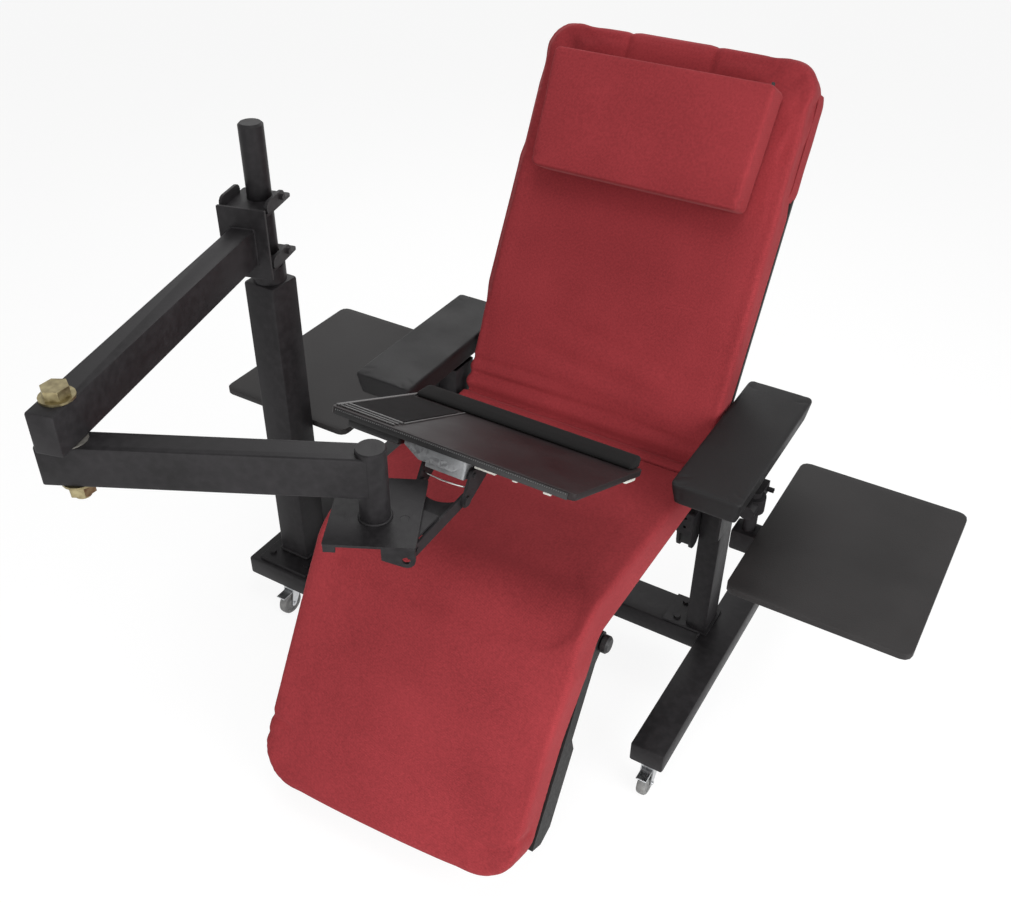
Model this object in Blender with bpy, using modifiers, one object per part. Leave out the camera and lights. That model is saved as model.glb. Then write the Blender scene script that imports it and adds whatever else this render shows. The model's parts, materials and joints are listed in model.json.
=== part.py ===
# Zero gravity workstation chair: reclining seat, leg rest, side trays and a keyboard on a folding arm.
# Metres, +Z up, the floor at z = 0. The chair faces -Y, and sides are the sitter's, so left is +X.
import math

import bmesh
import bpy
from mathutils import Matrix, Vector

for old in list(bpy.data.objects):
    bpy.data.objects.remove(old, do_unlink=True)

# Shared clearances and stock
GAP = 0.0003  # between pieces that touch
PIN_PLAY = 0.0005  # a hole's radius over its pin
BITE = 0.002  # how far welded shapes run into each other
STEP = 0.001  # a welded shape is this much smaller than the one it runs into
WALL = 0.003  # tube wall
WELD = 0.00001  # merge distance for drawn outlines
REACH = 0.02  # how far a cutter runs past the wall

# Seat sizes that other pieces are set from. The chair hangs on the tilt pin
HALF_WIDTH = 0.305
CUSHION = 0.075
TILT_Y = -0.055
TILT_Z = 0.43
KNEE_RADIUS = 0.112
KNEE_AHEAD = 0.435
KNEE_Y = TILT_Y - KNEE_AHEAD
KNEE_ABOVE = 0.053
KNEE_Z = TILT_Z + KNEE_ABOVE
HIP_BEHIND = 0.07
HIP_Y = TILT_Y + HIP_BEHIND
HIP_ABOVE = 0.107
HIP_Z = TILT_Z + HIP_ABOVE
CREASE_AHEAD = 0.035
CREASE_Y = HIP_Y - CREASE_AHEAD
CREASE_ABOVE = 0.063
CREASE_Z = HIP_Z + CREASE_ABOVE
RAIL_THICKNESS = 0.025
INNER_RAIL_INSET = 0.043
INNER_RAIL_X = HALF_WIDTH - INNER_RAIL_INSET
SEAT_TOP = KNEE_Z + KNEE_RADIUS
SEAT_LOW = SEAT_TOP - CUSHION

# Base
RAIL_TOP = 0.148
RAIL_HEIGHT = 0.0508
RAIL_BACK = 0.42
LEFT_RAIL_X = 0.393
LEFT_RAIL_WIDTH = 0.0762
LEFT_RAIL_FRONT = -0.418
RIGHT_RAIL_X = -0.6165
RIGHT_RAIL_WIDTH = 0.203
RIGHT_RAIL_FRONT = -0.387
RAIL_EDGE = 0.005
PLATE_EDGE = 0.001
BEAM_DEPTH = 0.1016
CASTER_INSET = 0.04
RAIL_BOTTOM = RAIL_TOP - RAIL_HEIGHT

# Casters
WHEEL_RADIUS = 0.032
WHEEL_WIDTH = 0.022
WHEEL_EDGE = 0.004
CASTER_TRAIL = 0.022
STEM_RADIUS = 0.0055
STEM_IN_RAIL = 0.03
NECK_RADIUS = 0.017
CROWN_THICKNESS = 0.005
CROWN_OVER_WHEEL = 0.008
CHEEK_THICKNESS = 0.0025
CHEEK_PLAY = 0.0015
AXLE_RADIUS = 0.004
PEDAL_THICKNESS = 0.003
PEDAL_LENGTH = 0.039
PEDAL_OVER_WHEEL = 0.0012
PEDAL_ROOT = 0.006  # how far the pedal runs in between the cheeks

# Uprights, armrests and tilt pivot
UPRIGHT_CLEAR = 0.0097  # from the seat's side to the upright
UPRIGHT_WIDTH = 0.0508
UPRIGHT_DEPTH = 0.0762
UPRIGHT_TOP = 0.642
FOOT_THICKNESS = 0.006
FOOT_IN = 0.0527  # the foot plate reaches this far in from the upright
FOOT_DEPTH = 0.094
FOOT_BOLT_IN = 0.0247
FOOT_BOLT_Y = 0.028
BOLT_RADIUS = 0.0085
BOLT_HEIGHT = 0.006
ARM_PLATE_THICKNESS = 0.006
ARM_PLATE_INSET = 0.018
PAD_CLEAR = 0.004  # from the seat's side to the pad
PAD_WIDTH = 0.14
PAD_FRONT = -0.237
PAD_BACK = 0.192
PAD_HEIGHT = 0.0564
PAD_CROWN = 0.007
PAD_ROUND = 0.018
TILT_PIN_RADIUS = 0.006
BRACKET_THICKNESS = 0.006
BRACKET_CLEAR = 0.004  # from the seat rail to the bracket
BRACKET_UNDER_SEAT = 0.008  # from the cushion to the bracket's top
BRACKET_RISE = 0.025
BRACKET_SHOULDER = TILT_Z + BRACKET_RISE
BRACKET_ROUND = 0.025
BRACKET_AHEAD = 0.03
BRACKET_FRONT = TILT_Y - BRACKET_AHEAD
BRACKET_BEHIND = 0.085
BRACKET_BACK = TILT_Y + BRACKET_BEHIND
CHEEK_BEHIND = 0.025
CHEEK_BACK = TILT_Y + CHEEK_BEHIND
CHEEK_INSET = 0.0012
CHEEK_CORNER = 0.004
BRACKET_HOLE = 0.0035
BRACKET_HOLES_DOWN = (0.014, 0.037)  # from the bracket's top
UPRIGHT_INNER = HALF_WIDTH + UPRIGHT_CLEAR
UPRIGHT_OUTER = UPRIGHT_INNER + UPRIGHT_WIDTH
PAD_INNER_X = HALF_WIDTH + PAD_CLEAR
PAD_OUTER_X = PAD_INNER_X + PAD_WIDTH
BRACKET_INNER_X = INNER_RAIL_X + RAIL_THICKNESS / 2 + BRACKET_CLEAR
BRACKET_TOP = SEAT_LOW - BRACKET_UNDER_SEAT

# Side trays
TRAY_DROP = 0.122
TRAY_TOP = UPRIGHT_TOP - TRAY_DROP
TRAY_THICKNESS = 0.016
TRAY_WIDTH = 0.365
TRAY_DEPTH = 0.48
TRAY_CORNER = 0.02
TRAY_EDGE = 0.002
LEFT_TRAY_OUT = 0.2084  # from the rod to the tray's middle
LEFT_TRAY_Y = -0.022
RIGHT_TRAY_OUT = 0.2609
TRAY_MAST_GAP = 0.0175  # from the right tray to the mast
TRAY_ROD_OUT = 0.0601
TRAY_ROD_X = UPRIGHT_OUTER + TRAY_ROD_OUT
TRAY_ROD_Y = -0.05
TRAY_ROD_RADIUS = 0.014
TRAY_ROD_SHOWS = 0.013  # above the clamp
TRAY_ARM_SIZE = 0.0508
TRAY_ARM_INNER = 0.031  # arm end past the rod, towards the chair
TRAY_ARM_PAST = 0.09  # arm end past the tray's middle
CLAMP_RADIUS = 0.024
CLAMP_ABOVE = 0.036
CLAMP_LOW = TRAY_TOP + CLAMP_ABOVE
CLAMP_HEIGHT = 0.036
CLAMP_PLATE = 0.006
CLAMP_PLATE_DROP = 0.096
CLAMP_PLATE_LOW = CLAMP_LOW - CLAMP_PLATE_DROP
CLAMP_PLATE_FRONT = -0.074
CLAMP_ARM_DEPTH = 0.036
BARREL_RADIUS = 0.0165
BARREL_LENGTH = 0.022
EAR_WIDTH = 0.018
EAR_BACK = 0.02
EAR_BOLT_RADIUS = 0.006
EAR_BOLT_LENGTH = 0.046

# Mast and swing arm
MAST_X = -0.617
MAST_Y = -0.2915
MAST_SIZE = 0.08
MAST_TOP = 0.912
MAST_WALL = 0.004
MAST_EDGE = 0.006
MAST_FOOT_MARGIN_X = 0.064
MAST_FOOT_X = MAST_SIZE + MAST_FOOT_MARGIN_X
MAST_FOOT_MARGIN_Y = 0.093
MAST_FOOT_Y = MAST_SIZE + MAST_FOOT_MARGIN_Y
MAST_FOOT_THICKNESS = 0.01
MAST_BOLT_OUT_X = 0.013
MAST_BOLT_X = MAST_SIZE / 2 + MAST_BOLT_OUT_X
MAST_BOLT_OUT_Y = 0.0175
MAST_BOLT_Y = MAST_SIZE / 2 + MAST_BOLT_OUT_Y
ROD_RADIUS = 0.0254
ROD_LENGTH = 0.3377
ROD_EDGE = 0.004
COLLAR_WALL = 0.0106
COLLAR_RADIUS = ROD_RADIUS + COLLAR_WALL
COLLAR_NECK_WALL = 0.0056
COLLAR_NECK_RADIUS = ROD_RADIUS + COLLAR_NECK_WALL
COLLAR_NECK = 0.022
COLLAR_HEIGHT = 0.0584
SWING_ANGLE = math.radians(-74.42)
ARM_WIDTH = 0.0508
ARM_HEIGHT = 0.0762
ARM_EDGE = 0.004
SWING_ARM_RISE = 0.0178  # the arm's foot over the lower rod bracket's
ELBOW_REACH = 0.72
ELBOW_OVERHANG = 0.0515
CARRIAGE_FRONT = 0.088
CARRIAGE_THICKNESS = 0.008
CARRIAGE_WIDTH = 0.104
CARRIAGE_DROP = 0.014  # the carriage's foot under the lower rod bracket's
CARRIAGE_HEIGHT = 0.15
ROD_BRACKET_SPACING = 0.119
ROD_BRACKET_HEIGHT = 0.028
ROD_LOW = MAST_TOP + GAP
ROD_BRACKET_LOW = ROD_LOW + COLLAR_HEIGHT + GAP
CARRIAGE_LOW = ROD_BRACKET_LOW - CARRIAGE_DROP
SWING_LOW = ROD_BRACKET_LOW + SWING_ARM_RISE
SWING_ARM_TOP = SWING_LOW + ARM_HEIGHT
ROD_BRACKET_BACK = -0.036
ROD_EAR_BACK = 0.006
ROD_EAR_BOLT = 0.0065
ROD_EAR_BOLT_HEAD = 0.005

# Elbow and fore arm
ELBOW_BOLT_RADIUS = 0.0135
ELBOW_HEX_RADIUS = 0.023
ELBOW_HEX_HEIGHT = 0.017
ELBOW_DISC_RADIUS = 0.029
ELBOW_DISC = 0.004
ELBOW_NUT_HEIGHT = 0.022
ELBOW_TAIL = 0.008
ELBOW_WASHER = 0.0022
ELBOW_WASHER_RADIUS = 0.031
FORE_ANGLE = math.radians(27.45)
FORE_OVERHANG = 0.05
SLEEVE_REACH = 0.479
SLEEVE_RADIUS = 0.0254
SLEEVE_RISE = 0.009  # over the fore arm
SHELF_DROP = 0.0528  # under the fore arm
SHELF_THICKNESS = 0.005
SHELF_WIDTH = 0.15
SHELF_FRONT = -0.0755
SHELF_BACK = 0.102
SHELF_CORNER = 0.003
FORE_TOP = SWING_LOW - ELBOW_WASHER - 2 * GAP
FORE_LOW = FORE_TOP - ARM_HEIGHT
SHELF_TOP = FORE_LOW - SHELF_DROP
TAB_WIDTH = 0.055
TAB_DROP = 0.038
TAB_ROUND = 0.015
TAB_SHOULDER = 0.023
TAB_HOLE = 0.007
SMALL_TAB_WIDTH = 0.02
SMALL_TAB_DROP = 0.012

# Keyboard mechanism
SWIVEL_SIDE = 0.0445  # the swivel bolt from the sleeve
SWIVEL_AHEAD = 0.0192
SWIVEL_BOLT_RADIUS = 0.008
LIFT_AHEAD = -0.03  # from the swivel bolt
LIFT_DROP = 0.025  # under the shelf
HEAD_AHEAD = 0.141  # from the lift pin
HEAD_RISE = 0.006
LIFT_HALF = 0.0435
LIFT_SIDE = 0.004
LIFT_RADIUS = 0.012
LIFT_WEB = 0.003
LIFT_WEB_FROM = 0.03  # from the lift pin
LIFT_WEB_SHORT = 0.009  # from the head pin
LIFT_ARC_RADIUS = 0.045
LIFT_ARC_DEPTH = 0.02
SWIVEL_PLATE = 0.005
SWIVEL_PLATE_FRONT = 0.045  # from the swivel bolt
SWIVEL_PLATE_BACK = 0.04
SWIVEL_CHEEK = 0.004
HINGE_PIN_RADIUS = 0.004
HEAD_SIDE = 0.005
HEAD_PIN_RADIUS = 0.005
RIVET_RADIUS = 0.0095
RIVET_HEIGHT = 0.003
TRAY_TILT_AHEAD = 0.024  # from the head pin
TRAY_TILT_RISE = 0.039
HEAD_PIVOT_ROUND = 0.013
HEAD_SCREW_ROUND = 0.011
HEAD_TAIL_AHEAD = 0.062
HEAD_TAIL_RISE = 0.025
HEAD_TAIL_ROUND = 0.009
SPRING_WIRE = 0.0014
SPRING_AHEAD = 0.012
SPRING_UP = 0.019
SPRING_RISE = 0.006
SPRING_BOW = 0.012

# Keyboard tray, measured from the middle of its far top edge
BOARD_SIDE = -0.0016  # from the swivel bolt
BOARD_PIVOT_AHEAD = 0.02445  # the tilt shaft from the board's far edge
BOARD_PIVOT_UNDER = 0.03605  # the tilt shaft under the board's top
BOARD_SLOPE = math.radians(24.9)
BOARD_WIDTH = 0.488
BOARD_DEPTH = 0.308
BOARD_THICKNESS = 0.012
BOARD_CORNER = 0.012
MOUNT_PLAY = 0.0005  # between the lift arm's bars
MOUNT_NEAR = 0.006
MOUNT_FAR = 0.075
MOUNT_UNDER_PIVOT = 0.00995
MOUNT_EDGE = 0.004
PALM_SHORT = 0.024  # the board's width past the palm rest, at each end
PALM_DEPTH = 0.038
PALM_HEIGHT = 0.022
PALM_ROUND = 0.009
PALM_OUT = 0.004  # how far it stands past the board's near edge
PALM_SIDE = 0.008  # set towards the left of the board
MOUSE_WIDTH = 0.112
MOUSE_DEPTH = 0.2
MOUSE_THICKNESS = 0.0025
MOUSE_SIDE = 0.012
MOUSE_AHEAD = 0.048
MOUSE_CORNER = 0.01

# Chair: the knee pivot is the centre of the cushion's bend
CUSHION_ROUND = 0.02
CUSHION_CROWN = 0.006
LEG_SLOPE = math.radians(60)
LEG_LENGTH = 0.474
SEAT_BACK_GAP = 0.005
SEAT_BACK = CREASE_Y - SEAT_BACK_GAP
BACK_SLOPE = math.radians(62.5)
BACK_LENGTH = 0.82
BACK_CROWN = 0.008
END_ROUND = 0.026
JOINT_ROUND = 0.018
CHAIR_PIN_RADIUS = 0.007
SEAT_BOARD = 0.014
SEAT_BOARD_BEHIND = 0.015
SEAT_BOARD_FRONT = KNEE_Y + SEAT_BOARD_BEHIND
SEAT_BOARD_AHEAD = 0.015
SEAT_BOARD_BACK = CREASE_Y - SEAT_BOARD_AHEAD
SEAT_RAIL_ROUND = 0.025
SEAT_RAIL_AHEAD = 0.015
SEAT_RAIL_END = HIP_Y - SEAT_RAIL_AHEAD
HIP_ROUND = 0.02
HIP_LUG_TURN = (20, 250)
SEAT_BAR = 0.025
SEAT_BARS = (0.05, 0.41)  # from the knee
SEAT_BAR_DROP = 0.013
SEAT_BAR_LOW = KNEE_Z - SEAT_BAR_DROP
LUG_DEPTH = 0.036
LUG_DROP = 0.017
LUG_LOW = TILT_Z - LUG_DROP
LUG_ROUND = 0.012
LUG_BAR = 0.025
LUG_PLAY = 0.0005
LEG_RAIL_DEPTH = 0.039
LEG_LUG_ROUND = 0.022
LEG_LUG_TURN = (105, 265)  # the lug's round end, in degrees
LEG_RAIL_LENGTH = 0.43
LEG_DEEP_FROM = 0.205
LEG_DEEP_SHORT = 0.03  # the deep part stops this far from the rail's end
LEG_DEEP = 0.026
LEG_BARS = (0.07, 0.25)
BACK_RAIL_FROM = 0.036
BACK_RAIL_TO = 0.8
BACK_BARS = (0.1, 0.43)
END_BAR = 0.005  # from a rail's end to its last bar
KNOB_RADIUS = 0.018
KNOB_LENGTH = 0.018
KNOB_EDGE = 0.004

# Head pillow
PILLOW_WIDTH = 0.49
PILLOW_HEIGHT = 0.25
PILLOW_DEPTH = 0.085
PILLOW_CENTRE = 0.645  # up the back from the crease
PILLOW_ROUND = 0.022
PILLOW_CROWN = 0.014

X = Vector((1, 0, 0))
Y = Vector((0, 1, 0))
Z = Vector((0, 0, 1))
LEG = Vector((0, -math.cos(LEG_SLOPE), -math.sin(LEG_SLOPE)))
LEG_OUT = Vector((0, -math.sin(LEG_SLOPE), math.cos(LEG_SLOPE)))
BACK = Vector((0, math.cos(BACK_SLOPE), math.sin(BACK_SLOPE)))
BACK_OUT = Vector((0, -math.sin(BACK_SLOPE), math.cos(BACK_SLOPE)))
BOARD = Vector((0, math.cos(BOARD_SLOPE), -math.sin(BOARD_SLOPE)))
BOARD_UP = Vector((0, math.sin(BOARD_SLOPE), math.cos(BOARD_SLOPE)))
SWING = Vector((math.cos(SWING_ANGLE), math.sin(SWING_ANGLE), 0))
FORE = Vector((math.cos(FORE_ANGLE), math.sin(FORE_ANGLE), 0))
KNEE = Vector((0, KNEE_Y, KNEE_Z))
HIP = Vector((0, HIP_Y, HIP_Z))
CREASE = Vector((0, CREASE_Y, CREASE_Z))
ROD = Vector((MAST_X, MAST_Y, 0))
ELBOW = ROD + SWING * ELBOW_REACH
SLEEVE = ELBOW + FORE * SLEEVE_REACH
SWIVEL = SLEEVE + Vector((SWIVEL_SIDE, SWIVEL_AHEAD, 0))
KEYS_X = SWIVEL.x
LIFT_Y = SWIVEL.y + LIFT_AHEAD
LIFT_Z = SHELF_TOP - LIFT_DROP
HEAD_Y = LIFT_Y + HEAD_AHEAD
HEAD_Z = LIFT_Z + HEAD_RISE
TRAY_TILT_Y = HEAD_Y + TRAY_TILT_AHEAD
TRAY_TILT_Z = HEAD_Z + TRAY_TILT_RISE
TRAY_TILT = Vector((KEYS_X, TRAY_TILT_Y, TRAY_TILT_Z))
BOARD_EDGE = TRAY_TILT + X * BOARD_SIDE - BOARD * BOARD_PIVOT_AHEAD + BOARD_UP * BOARD_PIVOT_UNDER
AXLE_Z = WHEEL_RADIUS

parts = bpy.data.collections.new("zero_gravity_workstation_chair")
cutters = bpy.data.collections.new("cutters")
bpy.context.scene.collection.children.link(parts)
bpy.context.scene.collection.children.link(cutters)


# Each moving body hangs from an empty on its joint axis
empties = {}
places = {}


def body(name, at, parent=None):
    empty = bpy.data.objects.new(name + "_body", None)
    parts.objects.link(empty)
    places[name] = Vector(at)
    empty.location = places[name]
    if parent:
        empty.parent = empties[parent]
        empty.location = places[name] - places[parent]
    empties[name] = empty


# Materials by name: colour, roughness, metallic
FINISHES = {
    "black_paint": ((0.018, 0.018, 0.019), 0.5, 0.3),
    "black_wood": ((0.018, 0.018, 0.019), 0.6, 0.0),
    "dark_laminate": ((0.024, 0.024, 0.025), 0.45, 0.0),
    "black_vinyl": ((0.012, 0.012, 0.012), 0.38, 0.0),
    "red_fabric": ((0.29, 0.034, 0.042), 0.85, 0.0),
    "yellow_zinc": ((0.62, 0.46, 0.2), 0.35, 1.0),
    "bright_zinc": ((0.6, 0.6, 0.58), 0.35, 1.0),
    "grey_casting": ((0.32, 0.33, 0.34), 0.55, 0.8),
    "grey_rubber": ((0.2, 0.2, 0.2), 0.7, 0.0),
    "black_plastic": ((0.02, 0.02, 0.02), 0.5, 0.0),
    "black_foam": ((0.014, 0.014, 0.014), 0.9, 0.0),
    "pale_nylon": ((0.6, 0.6, 0.57), 0.5, 0.0),
    "spring_steel": ((0.7, 0.68, 0.64), 0.3, 1.0),
}
materials = {}
for finish, (colour, roughness, metallic) in FINISHES.items():
    made = bpy.data.materials.new(finish)
    made.use_nodes = True
    shader = made.node_tree.nodes["Principled BSDF"]
    shader.inputs["Base Color"].default_value = (*colour, 1)
    shader.inputs["Roughness"].default_value = roughness
    shader.inputs["Metallic"].default_value = metallic
    materials[finish] = made


def part(obj, carrier, finish):
    parts.objects.link(obj)
    obj.parent = empties[carrier]
    obj.location = -places[carrier]
    obj.data.materials.clear()
    obj.data.materials.append(materials[finish])
    return obj


# Shapes. Each returns an object that isn't in a collection yet
def solid(name, work):
    bmesh.ops.recalc_face_normals(work, faces=work.faces)
    mesh = bpy.data.meshes.new(name)
    work.to_mesh(mesh)
    work.free()
    return bpy.data.objects.new(name, mesh)


def bevelled(obj, width, segments=2):
    modifier = obj.modifiers.new("edge", "BEVEL")
    modifier.width = width
    modifier.segments = segments
    modifier.limit_method = "ANGLE"
    return obj


def cube_between(low, high):
    low = Vector(low)
    high = Vector(high)
    work = bmesh.new()
    bmesh.ops.create_cube(work, size=1)
    bmesh.ops.scale(work, vec=high - low, verts=work.verts)
    bmesh.ops.translate(work, vec=(high + low) / 2, verts=work.verts)
    return work


def span(a, b):
    return min(a, b), max(a, b)


def box(name, xs, ys, zs, frame=None):
    (x0, x1), (y0, y1), (z0, z1) = span(*xs), span(*ys), span(*zs)
    work = cube_between((x0, y0, z0), (x1, y1, z1))
    if frame:
        bmesh.ops.transform(work, matrix=frame, verts=work.verts)
    return solid(name, work)


def tube(name, xs, ys, zs, wall, edge, open_sides, frame=None):
    """A box with the named sides left off, such as Vector X, made hollow."""
    (x0, x1), (y0, y1), (z0, z1) = span(*xs), span(*ys), span(*zs)
    work = cube_between((x0, y0, z0), (x1, y1, z1))
    work.normal_update()
    gone = [face for face in work.faces if any(face.normal.dot(side) > 0.9 for side in open_sides)]
    bmesh.ops.delete(work, geom=gone, context="FACES")
    if frame:
        bmesh.ops.transform(work, matrix=frame, verts=work.verts)
    mesh = bpy.data.meshes.new(name)
    work.to_mesh(mesh)
    work.free()
    obj = bpy.data.objects.new(name, mesh)
    bevelled(obj, edge)
    modifier = obj.modifiers.new("wall", "SOLIDIFY")
    modifier.thickness = wall
    modifier.offset = -1
    modifier.use_even_offset = True
    return obj


def frame_at(origin, across, along):
    return Matrix.Translation(origin) @ Matrix((across, along, across.cross(along))).transposed().to_4x4()


def drum(name, radius, start, end, sides=18):
    start = Vector(start)
    end = Vector(end)
    turn = (end - start).to_track_quat("Z", "Y").to_matrix().to_4x4()
    work = bmesh.new()
    bmesh.ops.create_cone(
        work, cap_ends=True, segments=sides, radius1=radius, radius2=radius, depth=(end - start).length
    )
    bmesh.ops.transform(work, matrix=Matrix.Translation((start + end) / 2) @ turn, verts=work.verts)
    return solid(name, work)


def cup(name, radius, at, low, high, wall, edge):
    """A round tube with a closed top and an open foot."""
    work = bmesh.new()
    bmesh.ops.create_cone(
        work, cap_ends=True, segments=24, radius1=radius, radius2=radius, depth=high - low
    )
    work.normal_update()
    foot = [face for face in work.faces if face.normal.z < -0.9]
    bmesh.ops.delete(work, geom=foot, context="FACES")
    bmesh.ops.translate(work, vec=(at.x, at.y, (low + high) / 2), verts=work.verts)
    mesh = bpy.data.meshes.new(name)
    work.to_mesh(mesh)
    work.free()
    obj = bpy.data.objects.new(name, mesh)
    bevelled(obj, edge, 1).modifiers["edge"].angle_limit = math.radians(60)
    modifier = obj.modifiers.new("wall", "SOLIDIFY")
    modifier.thickness = wall
    modifier.offset = -1
    modifier.use_even_offset = True
    return obj


def turned(name, profile, at, axis):
    """A closed profile of radius and height spun round an axis."""
    across = axis.orthogonal().normalized()
    work = bmesh.new()
    ring = [work.verts.new(at + across * radius + axis * height) for radius, height in profile]
    edges = [work.edges.new((a, b)) for a, b in zip(ring, ring[1:] + ring[:1])]
    bmesh.ops.spin(
        work, geom=ring + edges, cent=at, axis=axis, angle=math.tau, steps=18, use_merge=True
    )
    bmesh.ops.remove_doubles(work, verts=work.verts, dist=WELD)
    return solid(name, work)


def circle(u, v, radius, points=12):
    turns = [math.tau * step / points for step in range(points)]
    return [(u + radius * math.cos(t), v + radius * math.sin(t)) for t in turns]


def arc(radius, first, last, steps=8):
    """Points round the origin from one angle to another, in degrees."""
    turns = [math.radians(first + (last - first) * step / steps) for step in range(steps + 1)]
    return [(radius * math.cos(t), radius * math.sin(t)) for t in turns]


def rounded(width, height, radius, steps=3, middle=(0, 0)):
    outline = []
    for quarter, (su, sv) in enumerate(((1, 1), (-1, 1), (-1, -1), (1, -1))):
        cu = middle[0] + su * (width / 2 - radius)
        cv = middle[1] + sv * (height / 2 - radius)
        for step in range(steps + 1):
            t = math.pi / 2 * (quarter + step / steps)
            outline.append((cu + radius * math.cos(t), cv + radius * math.sin(t)))
    return outline


def hull(*rounds):
    """The outline of a band stretched round the given circles."""
    points = sorted({point for u, v, radius in rounds for point in circle(u, v, radius)})
    halves = []
    for run in (points, points[::-1]):
        chain = []
        for p in run:
            while len(chain) > 1:
                a, b = chain[-2:]
                if (b[0] - a[0]) * (p[1] - a[1]) - (b[1] - a[1]) * (p[0] - a[0]) > 0:
                    break
                chain.pop()
            chain.append(p)
        halves += chain[:-1]
    return halves


def plate(name, outlines, depth, frame):
    """Flat stock cut to an outline and its holes, centred on the frame's own plane."""
    drawing = bpy.data.curves.new(name, "CURVE")
    drawing.dimensions = "2D"
    drawing.fill_mode = "BOTH"
    drawing.extrude = depth / 2
    for outline in outlines:
        spline = drawing.splines.new("POLY")
        spline.points.add(len(outline) - 1)
        for point, (u, v) in zip(spline.points, outline):
            point.co = (u, v, 0, 1)
        spline.use_cyclic_u = True
    drawn = bpy.data.objects.new(name, drawing)
    cutters.objects.link(drawn)
    graph = bpy.context.evaluated_depsgraph_get()
    mesh = bpy.data.meshes.new_from_object(drawn.evaluated_get(graph))
    bpy.data.objects.remove(drawn)
    work = bmesh.new()
    work.from_mesh(mesh)
    bmesh.ops.remove_doubles(work, verts=work.verts, dist=WELD)
    bmesh.ops.transform(work, matrix=frame, verts=work.verts)
    return solid(name, work)


def side_plate(name, outlines, depth, x, origin=Vector(), along=Y, up=Z):
    """A plate that stands in a plane across X."""
    return plate(name, outlines, depth, frame_at(origin + X * x, along, up))


def combine(obj, operation, others):
    for number, other in enumerate(others):
        other.name = f"{obj.name}_{operation.lower()}_{number}_{other.name}"
        cutters.objects.link(other)
        other.parent = empties["base"]
        other.hide_render = True
        other.display_type = "WIRE"
        modifier = obj.modifiers.new(operation.lower(), "BOOLEAN")
        modifier.operation = operation
        modifier.solver = "EXACT"
        modifier.object = other
    return obj


def cut(obj, *others):
    return combine(obj, "DIFFERENCE", others)


def join(obj, *others):
    return combine(obj, "UNION", others)


# Soft pieces are lofted from rounded, crowned sections
def section(half, depth, corner, crown, inset):
    half -= inset
    low = inset
    high = depth - inset
    corner = min(max(corner - inset, corner / 4), (high - low) / 3)
    outline = []
    for quarter, (su, v) in enumerate(((1, high), (-1, high), (-1, low), (1, low))):
        cu = su * (half - corner)
        cv = v - corner if v == high else v + corner
        for step in range(4):
            t = math.pi / 2 * (quarter + step / 3)
            outline.append((cu + corner * math.cos(t), cv + corner * math.sin(t)))
        for step in range(1, 6 if quarter == 0 else 1):
            outline.append((cu * (1 - step / 3), high))
        for step in range(1, 3 if quarter == 2 else 1):
            outline.append((cu * (1 - step / 1.5), low))
    top = depth / 2
    return [(u, v + crown * (1 - (u / half) ** 2) * max(0, v - top) / top) for u, v in outline]


def loft(name, half, depth, corner, crown, stations):
    """Stations are origin, across, up, inset and share of the crown."""
    work = bmesh.new()
    rings = []
    for origin, across, up, inset, share in stations:
        outline = section(half, depth, corner, crown * share, inset)
        rings.append([work.verts.new(origin + across * u + up * v) for u, v in outline])
    for first, second in zip(rings, rings[1:]):
        for a in range(len(first)):
            b = (a + 1) % len(first)
            work.faces.new((first[a], first[b], second[b], second[a]))
    work.faces.new(rings[0][::-1])
    work.faces.new(rings[-1])
    return solid(name, work)


def straight(start, end, across, up, start_round, end_round, count):
    """Stations along a straight cushion, drawn in towards a rounded end."""
    run = (end - start).normalized()
    length = (end - start).length
    steps = [(start_round * (1 - math.cos(t)), start_round * (1 - math.sin(t)))
             for t in (0, math.pi / 6, math.pi / 3) if start_round]
    inner = length - start_round - end_round
    steps += [(start_round + inner * k / count, 0) for k in range(count + 1)]
    steps += [(length - end_round * (1 - math.cos(t)), end_round * (1 - math.sin(t)))
              for t in (math.pi / 3, math.pi / 6, 0) if end_round]
    return [
        (start + run * s, across, up, inset, 1 - abs(2 * s / length - 1) ** 3) for s, inset in steps
    ]


# Base: rails, cross beam and uprights
body("base", (0, 0, 0))
casters = []
for name, x, width, front in (
    ("left_rail", LEFT_RAIL_X, LEFT_RAIL_WIDTH, LEFT_RAIL_FRONT),
    ("right_rail", RIGHT_RAIL_X, RIGHT_RAIL_WIDTH, RIGHT_RAIL_FRONT),
):
    half = width / 2
    rail = box(name, (x - half, x + half), (front, RAIL_BACK), (RAIL_BOTTOM, RAIL_TOP))
    hollow = box(
        "hollow",
        (x - half + WALL, x + half - WALL),
        (front + WALL, RAIL_BACK - WALL),
        (RAIL_BOTTOM + WALL, RAIL_TOP - WALL),
    )
    stems = []
    for where, y in (("front", front + CASTER_INSET), ("back", RAIL_BACK - CASTER_INSET)):
        casters.append((where + "_" + name.split("_")[0], x, y))
        low = RAIL_BOTTOM - REACH
        high = RAIL_BOTTOM + REACH
        stems.append(drum("stem", STEM_RADIUS + PIN_PLAY, (x, y, low), (x, y, high)))
    part(cut(bevelled(rail, RAIL_EDGE), hollow, *stems), "base", "black_paint")

beam = tube(
    "cross_beam",
    (RIGHT_RAIL_X + RIGHT_RAIL_WIDTH / 2 + GAP, LEFT_RAIL_X - LEFT_RAIL_WIDTH / 2 - GAP),
    (-BEAM_DEPTH / 2, BEAM_DEPTH / 2),
    (RAIL_BOTTOM, RAIL_TOP),
    WALL,
    RAIL_EDGE,
    (X, -X),
)
part(beam, "base", "black_paint")

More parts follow.
